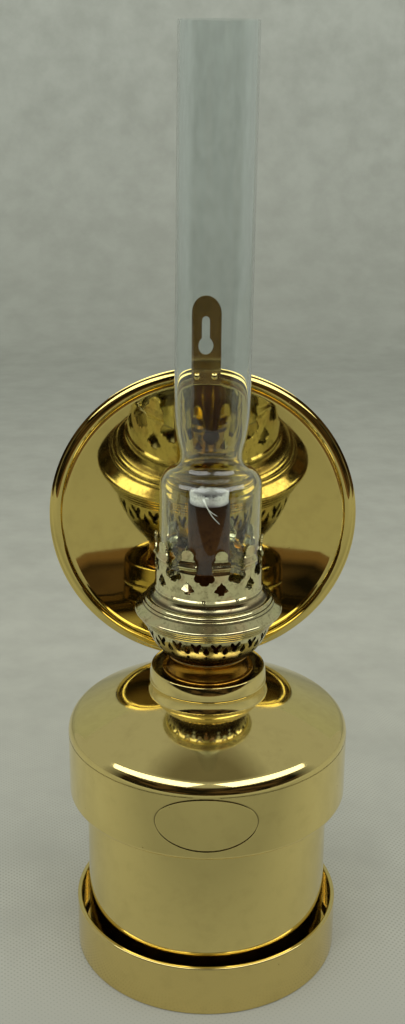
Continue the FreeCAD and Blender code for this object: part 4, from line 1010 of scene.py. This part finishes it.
@dataclass
class Burner:
    """Threaded ring, neck, wick tubes and the winder with its knob."""

    ring: Outline = ((18.2, 138.568), (19.45, 138.568), (19.45, 146.018), (20.55, 146.018),
                     (21.35, 146.818, 0.8), (20.55, 147.618, 0.8), (18.2, 147.618))
    neck: Outline = ((18.8, 147.698), (19.5, 147.698), (18.4, 154.098, -9.0),
                     (19.1, 154.798, 0.7), (18.4, 155.498, 0.7), (9.53, 155.498),
                     (9.53, 154.798), (17.7, 154.798), (17.7, 154.098))
    tube: Outline = ((8.95, 149.098), (9.35, 149.098), (9.45, 149.198, 0.1), (9.45, 228.2),
                     (9.25, 228.398, 0.2), (8.95, 228.398))
    wheel_window: tuple[float, float, float] = (0.0, 157.878, 164.318)
    duct_window: tuple[float, float, float] = (180.0, 158.018, 168.178)
    window_half: float = 27.0
    skirt_radius: float = 19.45
    skirt_rise: tuple[float, float] = (138.9, 145.6)
    thread_pitch: float = 1.8
    thread_depth: float = 0.5

    def thread(self, height: Array, angle: Array) -> Array:
        """Change of radius of a screw thread: -depth * |2 f - 1|, f being the share of a turn of pitch."""
        share = np.mod(height / self.thread_pitch - angle / TAU, 1.0)
        return -self.thread_depth * np.abs(2 * share - 1)

    def build_tube(self) -> None:
        """Draw the wick tube, and leave its windows for the wheels and the air duct open."""
        profile = traced(self.tube, arc_step=30.0)
        low, high = profile[3], profile[4]
        rows = low + (high - low) * (np.arange(1, 41) / 41)[:, None]
        vertices, faces = spun(np.vstack([profile[:4], rows, profile[4:]]), turns=120)
        middle = vertices[np.array(faces)].mean(axis=1)
        angle = np.degrees(np.arctan2(middle[:, 1], middle[:, 0]))
        shut = np.ones(len(faces), bool)
        for centre, foot, head in (self.wheel_window, self.duct_window):
            off = np.abs((angle - centre + 180) % 360 - 180)
            shut &= ~((off < self.window_half) & (middle[:, 2] > foot) & (middle[:, 2] < head))
        piece("wick_tube_drawn", (vertices, np.array(faces)[shut].tolist()), DARK_BRASS, "burner",
              ["wick_tube"])

    def build(self) -> None:
        """Build the burner's base, neck and winder."""
        skirt, (low, high) = self.skirt_radius, self.skirt_rise
        rows = np.column_stack([np.full(40, skirt), np.linspace(low, high, 40)])
        profile = traced(self.ring, arc_step=12.0)
        cut = int(np.argmax(profile[:, 1] > low - 0.2))
        profile = np.vstack([profile[:cut], rows, profile[cut:]])

        def cut_thread(height: Array, angle: Array) -> Array:
            """The thread's shape on the ring's skirt, and none on other rows."""
            threaded = (np.abs(profile[:, :1] - skirt) < 0.01) & (height > low - 0.1) & (height < high + 0.1)
            return np.where(threaded, self.thread(height, angle), 0.0)

        piece("burner_ring_threaded", spun(profile, turns=160, shift=cut_thread), HEATED_BRASS,
              "burner_base", ["burner_ring"])
        piece("burner_neck_spun", spun(traced(self.neck)), HEATED_BRASS, "burner",
              ["burner_neck"])
        self.build_tube()
        for node in ("air_tube", "wheel_bracket", "shaft_sleeve", "wick_wheels"):
            dress(node, DARK_BRASS)
        dress("wick_shaft", TURNED_STEEL)
        softened("wick_knob", PALE_BRASS, "winder", 0.12)


@dataclass
class Wick:
    """Plaited round wick with a frayed top and a loose thread that hangs over the tube."""

    outer: float = 8.8
    inner: float = 6.9
    foot: float = 25.0
    top: float = 231.6
    fibres: int = 1500
    fibre_radius: float = 0.13
    seed: int = 7

    def tufts(self) -> Mesh:
        """Fibres that stand up from the rim and curl, but keep clear of both tubes when the wick sinks.

        Point s of a fibre, from 0 to 1, is foot + length (s out, s up - droop s^2) + a sideways swing.

        Returns:
            Vertices and faces of all fibres.
        """
        chance = np.random.default_rng(self.seed)
        count, steps = self.fibres, 6
        angle = chance.uniform(0, TAU, count)
        radius = chance.uniform(self.inner, self.outer - 0.1, count)
        out = chance.uniform(-0.9, 1.0, count)
        length = chance.uniform(1.0, 3.6, count)
        swing = chance.normal(0, 0.45, count)
        s = np.linspace(0, 1, steps)[:, None]
        r = np.clip(radius + length * out * s, self.inner + 0.1, self.outer)
        z = self.top - 0.6 + length * (1.35 * s - chance.uniform(0.5, 1.5, count) * s ** 2)
        turn = angle + swing * length * s / radius
        paths = np.stack([r * np.cos(turn), r * np.sin(turn), z], axis=2)
        return self.strands(paths, self.fibre_radius)

    @staticmethod
    def strands(paths: Array, radius: float) -> Mesh:
        """Triangular tubes along paths: corner k of a ring is path + radius (cos, sin) of k thirds of a turn.

        Args:
            paths: points of shape (steps, count, 3).
            radius: a strand's radius, which shrinks to a third at its tip.

        Returns:
            Vertices and faces.
        """
        steps, count = paths.shape[:2]
        along = np.gradient(paths, axis=0)
        along /= np.linalg.norm(along, axis=2, keepdims=True)
        side = np.cross(along, np.array([0.31, 0.22, 0.92]))
        side /= np.linalg.norm(side, axis=2, keepdims=True)
        upper = np.cross(side, along)
        turn = np.arange(3) * TAU / 3
        width = radius * np.linspace(1.0, 0.35, steps)[:, None, None, None]
        ring = (side[:, :, None] * np.cos(turn)[:, None] + upper[:, :, None] * np.sin(turn)[:, None]) * width
        points = (paths[:, :, None] + ring).transpose(1, 0, 2, 3).reshape(-1, 3)
        quads = grid_faces(steps, 3)
        start = np.arange(count)[:, None, None] * steps * 3
        caps = np.array([[2, 1, 0], [steps * 3 - 3, steps * 3 - 2, steps * 3 - 1]])
        sides = (quads[None] + start).reshape(-1, 4).tolist()
        return points, sides + (caps[None] + start).reshape(-1, 3).tolist()

    def thread(self) -> Mesh:
        """Two strands of yarn that fall from the rim and part at their ends.

        Returns:
            Vertices and faces of both strands.
        """
        s = np.linspace(0, 1, 22)[:, None]
        spread = np.array([0.0, 1.0])[None]
        x = -2.6 + 1.2 * s + 5.6 * s ** 1.6 - spread * (0.5 + 0.9 * s * (1 - s) + 0.6 * s)
        y = -8.0 - 2.1 * np.sin(np.minimum(s * 4, 1) * math.pi / 2) - 0.4 * s + 0 * spread
        z = self.top + 0.4 + 0.8 * np.sin(s * 6) * (1 - s) - 10.8 * s * (1 - 0.35 * spread)
        return self.strands(np.stack([x, y, z], axis=2), 0.3)

    def build(self) -> None:
        """Plait the wick, fray its rim and let its thread hang."""
        rise = np.linspace(self.foot, self.top, 120)
        wall = np.concatenate([
            np.column_stack([np.full(120, self.outer), rise]),
            np.column_stack([np.linspace(self.outer - 0.3, self.inner + 0.3, 8),
                             self.top + 0.3 * np.sin(np.linspace(0.3, math.pi - 0.3, 8))]),
            np.column_stack([np.full(120, self.inner), rise[::-1]])])
        lines, faces = spun(wall, turns=160)
        angle = np.arctan2(lines[:, 1], lines[:, 0])
        height = lines[:, 2]
        # Plait: crossed cosine ridges, 40 round the wick, one ridge every 1.4 mm up it.
        ridge = 0.07 * np.cos(40 * angle + TAU * height / 1.4) * np.cos(40 * angle - TAU * height / 1.4)
        ragged = 0.5 * np.sin(7 * angle + 1.0) + 0.35 * np.sin(17 * angle) + 0.2 * np.sin(41 * angle)
        near_top = np.clip((height - self.top + 4) / 4, 0, 1)
        radius = np.hypot(lines[:, 0], lines[:, 1])
        lines[:, :2] *= ((radius + ridge - 0.08) / radius)[:, None]
        lines[:, 2] += ragged * near_top * 0.8
        joined, faces = lines, list(faces)
        for points, polygons in (self.tufts(), self.thread()):
            faces += [[n + len(joined) for n in polygon] for polygon in polygons]
            joined = np.vstack([joined, points])
        # Scorched on the inside, on a patch in front and below the rim; the thread stays clean.
        inward = np.clip((8.1 - np.hypot(joined[:, 0], joined[:, 1])) / 1.2, 0, 1)
        patch = np.exp(-((joined[:, 0] - 0.6) / 2.6) ** 2 - ((joined[:, 1] + 8.0) / 3.0) ** 2)
        below = np.clip((self.top - 1.2 - joined[:, 2]) / 2.5, 0, 1)
        soil_and_painted_shade = np.clip(inward * 0.35 + patch * 0.45 + below * 0.8, 0, 1)
        soil_and_painted_shade[len(joined) - len(points):] = 0.0
        piece("wick_plaited", (joined, faces), WICK_COTTON, "wick", ["wick"], soil_and_painted_shade=soil_and_painted_shade)


@dataclass
class Chimney:
    """Glass with a straight foot, a shoulder, a tight waist and a long tube."""

    outside: Outline = ((23.0, 201.488), (23.0, 236.488), (18.19, 243.489, 7.5),
                        (14.0, 249.588, -6.534), (14.554, 254.019, -18.0),
                        (16.8, 271.988, 73.0), (16.8, 431.088))
    wall_mm: float = 1.0
    lean_mm: float = 2.0
    shift_mm: float = 0.4

    def build(self) -> None:
        """Blow the glass.

        The inside is the outside moved by the wall's thickness along its normal, (dz, -dr) turned inwards.
        The tube stands a little askew in the prongs: x grows in step with the height.
        """
        outer = traced(self.outside, closed=False, arc_step=3.0)
        along = np.gradient(outer, axis=0)
        normal = np.column_stack([-along[:, 1], along[:, 0]]) / np.hypot(*along.T)[:, None]
        inner = (outer + normal * self.wall_mm)[::-1]
        inner[0, 1], inner[-1, 1] = outer[-1, 1], outer[0, 1]
        vertices, faces = spun(np.vstack([outer, inner]), turns=128)
        foot, top = self.outside[0][1], self.outside[-1][1]
        share = (vertices[:, 2] - foot) / (top - foot)
        vertices[:, 0] += self.shift_mm + self.lean_mm * np.clip(share, 0, 1)
        piece("chimney_blown", (vertices, faces), CHIMNEY_GLASS, "chimney", ["chimney"])


# ------------------------------------------------------------------ studio

@dataclass
class Studio:
    """Pale paper sweep, two long soft boxes, the room beyond the table, and the camera."""

    floor_colour: str = "#A3A39A"
    # Painted shade: the sweep's curve is darker than its floor and its wall.
    curve_painted_shade_colour: str = "#989A93"
    wall_colour: str = "#B2B5AF"
    shade_colour: str = "#767770"
    room_pale: str = "#A4A69E"
    room_above: str = "#6C695C"
    room_dark: str = "#16140F"
    room_brown: str = "#6E5840"
    fill: float = 1.5
    paper_front: float = -568.0
    paper_run: float = 1300.0
    paper_bend: float = 400.0
    paper_top: float = 1500.0
    paper_side: float = 1800.0
    paper_gap: float = 0.02
    dimple_mm: float = 2.1
    distance_mm: float = 554.5
    height_mm: float = 416.1
    offset_mm: float = 3.0
    pitch: float = 0.33479
    turn_deg: float = 2.0
    roll_deg: float = 0.38
    lens_mm: float = 45.76
    lamp_watts: float = 6.6
    lamp_size: tuple[float, float] = (1.5, 0.6)
    lamp_x: float = 0.78
    lamp_y: float = -0.5
    lamp_z: float = 1.1
    lamp_aim: float = 0.4
    lamp_aim_z: float = 0.15

    def build_floor(self) -> None:
        """Paper that lies under the lamp and sweeps up behind it: a run, a quarter round and a wall.

        The quarter round is (run + bend sin t, bend (1 - cos t)). The paper lies a hair below the lamp.
        """
        turn = np.linspace(0, math.pi / 2, 13)
        run = [[self.paper_front, 0.0], [0.0, 0.0], [self.paper_run, 0.0]]
        curve = np.column_stack([self.paper_run + self.paper_bend * np.sin(turn),
                                 self.paper_bend - self.paper_bend * np.cos(turn)])[1:]
        path = np.vstack([run, curve, [[self.paper_run + self.paper_bend, self.paper_top]]])
        x = np.linspace(-self.paper_side, self.paper_side, 5)
        rows = np.repeat(path, len(x), axis=0)
        points = np.column_stack([np.tile(x, len(path)), rows[:, 0], rows[:, 1] - self.paper_gap])
        mesh = bpy.data.meshes.new("paper_sweep")
        faces = grid_faces(len(path), len(x), wrap_columns=False)
        mesh.from_pydata((points * MM).tolist(), [], faces.tolist())
        mesh.shade_smooth()
        made = bpy.data.objects.new("paper_sweep", mesh)
        bpy.context.scene.collection.objects.link(made)
        made.data.materials.append(self.paper())

    def paper(self) -> bpy.types.Material:
        """Embossed paper cloth: matt, its fine diagonal grid of dimples painted as darker dots (painted shade),
        a little uneven in shade, with painted shade in its curve and a painted shadow on its front half.

        Returns:
            The material.
        """
        made = bpy.data.materials.new("paper_cloth_embossed")
        made.use_nodes = True
        tree = made.node_tree
        shader = tree.nodes["Principled BSDF"]
        place = add(tree, "TexCoord")
        mottle = add(tree, "TexNoise", {
            "Vector": place.outputs["Object"], "Scale": 25.0, "Detail": 5.0, "Roughness": 0.6})
        share = add(tree, "MapRange", {
            "Value": mottle.outputs["Fac"], "From Min": 0.35, "From Max": 0.65, "To Max": 0.25})
        turned = add(tree, "Mapping", {
            "Vector": place.outputs["Object"], "Rotation": [0.0, 0.0, math.radians(38)]})
        # Painted shade of the dimples, whose edge is soft.
        grid = add(tree, "TexVoronoi", {
            "Vector": turned, "Scale": 1 / (self.dimple_mm * MM), "Randomness": 0.0},
            voronoi_dimensions="2D")
        dimple_painted_shade = add(tree, "MapRange", {
            "Value": grid.outputs["Distance"], "From Min": 0.16, "From Max": 0.36,
            "To Min": 0.55, "To Max": 0.0})
        axes = add(tree, "SeparateXYZ", {0: place.outputs["Object"]})
        near = add(tree, "MapRange", {
            "Value": axes.outputs["Y"], "From Min": 0.05, "From Max": 0.35, "To Min": 1.0, "To Max": 0.0})
        near_dimple_painted_shade = add(tree, "Math", {0: dimple_painted_shade, 1: near}, operation="MULTIPLY")
        # Painted shadow: the table's front half is darkened as if someone stood there, most of all near the
        # lamp.
        front = add(tree, "MapRange", {
            "Value": axes.outputs["Y"], "From Min": -0.16, "From Max": 0.0, "To Min": 0.95, "To Max": 0.0})
        away = add(tree, "MapRange", {
            "Value": axes.outputs["Y"], "From Min": -0.42, "From Max": -0.2, "To Min": 0.6})
        spread = add(tree, "Math", {0: axes.outputs["X"]}, operation="ABSOLUTE")
        middle = add(tree, "MapRange", {
            "Value": spread, "From Min": 0.1, "From Max": 0.7, "To Min": 1.0, "To Max": 0.3})
        near_by = add(tree, "Math", {0: front, 1: away}, operation="MULTIPLY")
        painted_front_shadow = add(tree, "Math", {0: near_by, 1: middle},
                    operation="MULTIPLY")
        spots = add(tree, "Math", {0: share, 1: near_dimple_painted_shade}, operation="MAXIMUM")
        shade = add(tree, "Math", {0: spots, 1: painted_front_shadow}, operation="MAXIMUM")
        # Painted shade: the sweep is darker in its curve than on its floor and its wall.
        height = add(tree, "MapRange", {
            "Value": axes.outputs["Z"], "From Min": 0.08, "From Max": 0.457})
        distance = add(tree, "MapRange", {
            "Value": axes.outputs["Y"], "From Min": 0.35, "From Max": 1.1})
        back = add(tree, "Mix", {
            0: height, 6: self.curve_painted_shade_colour, 7: self.wall_colour}, data_type="RGBA")
        ground = add(tree, "Mix", {
            0: distance, 6: self.floor_colour, 7: back.outputs[2]}, data_type="RGBA")
        colour = add(tree, "Mix", {
            0: shade, 6: ground.outputs[2], 7: self.shade_colour}, data_type="RGBA")
        tree.links.new(colour.outputs[2], shader.inputs["Base Color"])
        shader.inputs["Roughness"].default_value = 0.95
        return made

    def build_world(self) -> None:
        """Room light: even and pale for matt surfaces, and a room with a dark side for polished ones.

        A mirrored ray that leaves low down in front meets the dark room beyond the table, with brown
        furniture in it and the table's bare edge below. One that leaves straight up meets a dim ceiling.
        Everything else meets the pale wall.
        """
        world = bpy.data.worlds.new("room")
        bpy.context.scene.world = world
        world.use_nodes = True
        tree = world.node_tree
        shade = tree.nodes["Background"]
        place = add(tree, "TexCoord")
        axes = add(tree, "SeparateXYZ", {0: place.outputs["Generated"]})
        front = add(tree, "MapRange", {
            "Value": axes.outputs["Y"], "From Min": -0.35, "From Max": 0.0, "To Min": 1.0, "To Max": 0.0})
        low = add(tree, "MapRange", {
            "Value": axes.outputs["Z"], "From Min": 0.5, "From Max": 0.62, "To Min": 1.0, "To Max": 0.0})
        dark = add(tree, "Math", {0: front, 1: low}, operation="MULTIPLY")
        path = add(tree, "LightPath")
        share = add(tree, "Math", {0: dark, 1: path.outputs["Is Glossy Ray"]},
                    operation="MULTIPLY")
        stretched = add(tree, "Mapping", {
            "Vector": place.outputs["Generated"], "Scale": [1.6, 1.6, 5.0]})
        furniture = add(tree, "TexNoise", {
            "Vector": stretched, "Scale": 1.6, "Detail": 2.0})
        brown = add(tree, "MapRange", {
            "Value": furniture.outputs["Fac"], "From Min": 0.48, "From Max": 0.62,
            "To Max": 0.45})
        # The table's bare edge shows as a brown strip between the paper and the dark.
        edge = add(tree, "MapRange", {
            "Value": axes.outputs["Z"], "From Min": -0.235, "From Max": -0.215,
            "To Min": 1.0, "To Max": 0.0})
        wood = add(tree, "Math", {0: brown, 1: edge}, operation="MAXIMUM")
        depth = add(tree, "Mix", {
            0: wood, 6: self.room_dark, 7: self.room_brown}, data_type="RGBA")
        above = add(tree, "MapRange", {
            "Value": axes.outputs["Z"], "From Min": 0.9, "From Max": 0.97})
        over = add(tree, "Math", {0: above, 1: path.outputs["Is Glossy Ray"]},
                   operation="MULTIPLY")
        pale = add(tree, "Mix", {
            0: over, 6: self.room_pale, 7: self.room_above}, data_type="RGBA")
        colour = add(tree, "Mix", {
            0: share, 6: pale.outputs[2], 7: depth.outputs[2]}, data_type="RGBA")
        strength = add(tree, "Math", {
            0: path.outputs["Is Diffuse Ray"], 1: self.fill, 2: 1.0}, operation="MULTIPLY_ADD")
        tree.links.new(colour.outputs[2], shade.inputs["Color"])
        tree.links.new(strength.outputs[0], shade.inputs["Strength"])

    def build_lamps(self) -> None:
        """Two long soft boxes side by side, above and in front."""
        for number, x in enumerate((-self.lamp_x, self.lamp_x)):
            light = bpy.data.lights.new(f"soft_box_{number}", "AREA")
            light.shape = "RECTANGLE"
            light.size, light.size_y = self.lamp_size
            light.energy = self.lamp_watts
            made = bpy.data.objects.new(light.name, light)
            bpy.context.scene.collection.objects.link(made)
            made.location = (x, self.lamp_y, self.lamp_z)
            aim = Vector((self.lamp_aim * x, 0.0, self.lamp_aim_z)) - Vector(made.location)
            made.rotation_euler = aim.to_track_quat("-Z", "Y").to_euler()

    def build_camera(self) -> None:
        """Camera at the height and distance that show the lamp as it stands."""
        turn = math.radians(self.turn_deg)
        x = -self.distance_mm * math.sin(turn) - self.offset_mm * math.cos(turn)
        y = -self.distance_mm * math.cos(turn) + self.offset_mm * math.sin(turn)
        camera = bpy.data.cameras.new("studio_camera")
        camera.sensor_fit = "VERTICAL"
        camera.sensor_height = 36.0
        camera.lens = self.lens_mm
        camera.clip_start = 0.01
        made = bpy.data.objects.new("studio_camera", camera)
        bpy.context.scene.collection.objects.link(made)
        aim = (Matrix.Rotation(-turn, 4, "Z") @ Matrix.Rotation(math.pi / 2 - self.pitch, 4, "X")
               @ Matrix.Rotation(math.radians(self.roll_deg), 4, "Z"))
        made.matrix_world = Matrix.Translation((x * MM, y * MM, self.height_mm * MM)) @ aim
        bpy.context.scene.camera = made

    def build(self) -> None:
        """Set up the studio."""
        self.build_floor()
        self.build_world()
        self.build_lamps()
        self.build_camera()
        bpy.context.scene.view_settings.view_transform = "Standard"


def main() -> None:
    """Build every sub-assembly, then the studio."""
    logging.basicConfig(level=logging.INFO, format="%(name)s: %(message)s")
    for part in (Holder(), Font(), Gallery(), Burner(), Wick(), Chimney(), Studio()):
        log.info("building %s", type(part).__name__)
        part.build()


if __name__ == "__main__":
    main()
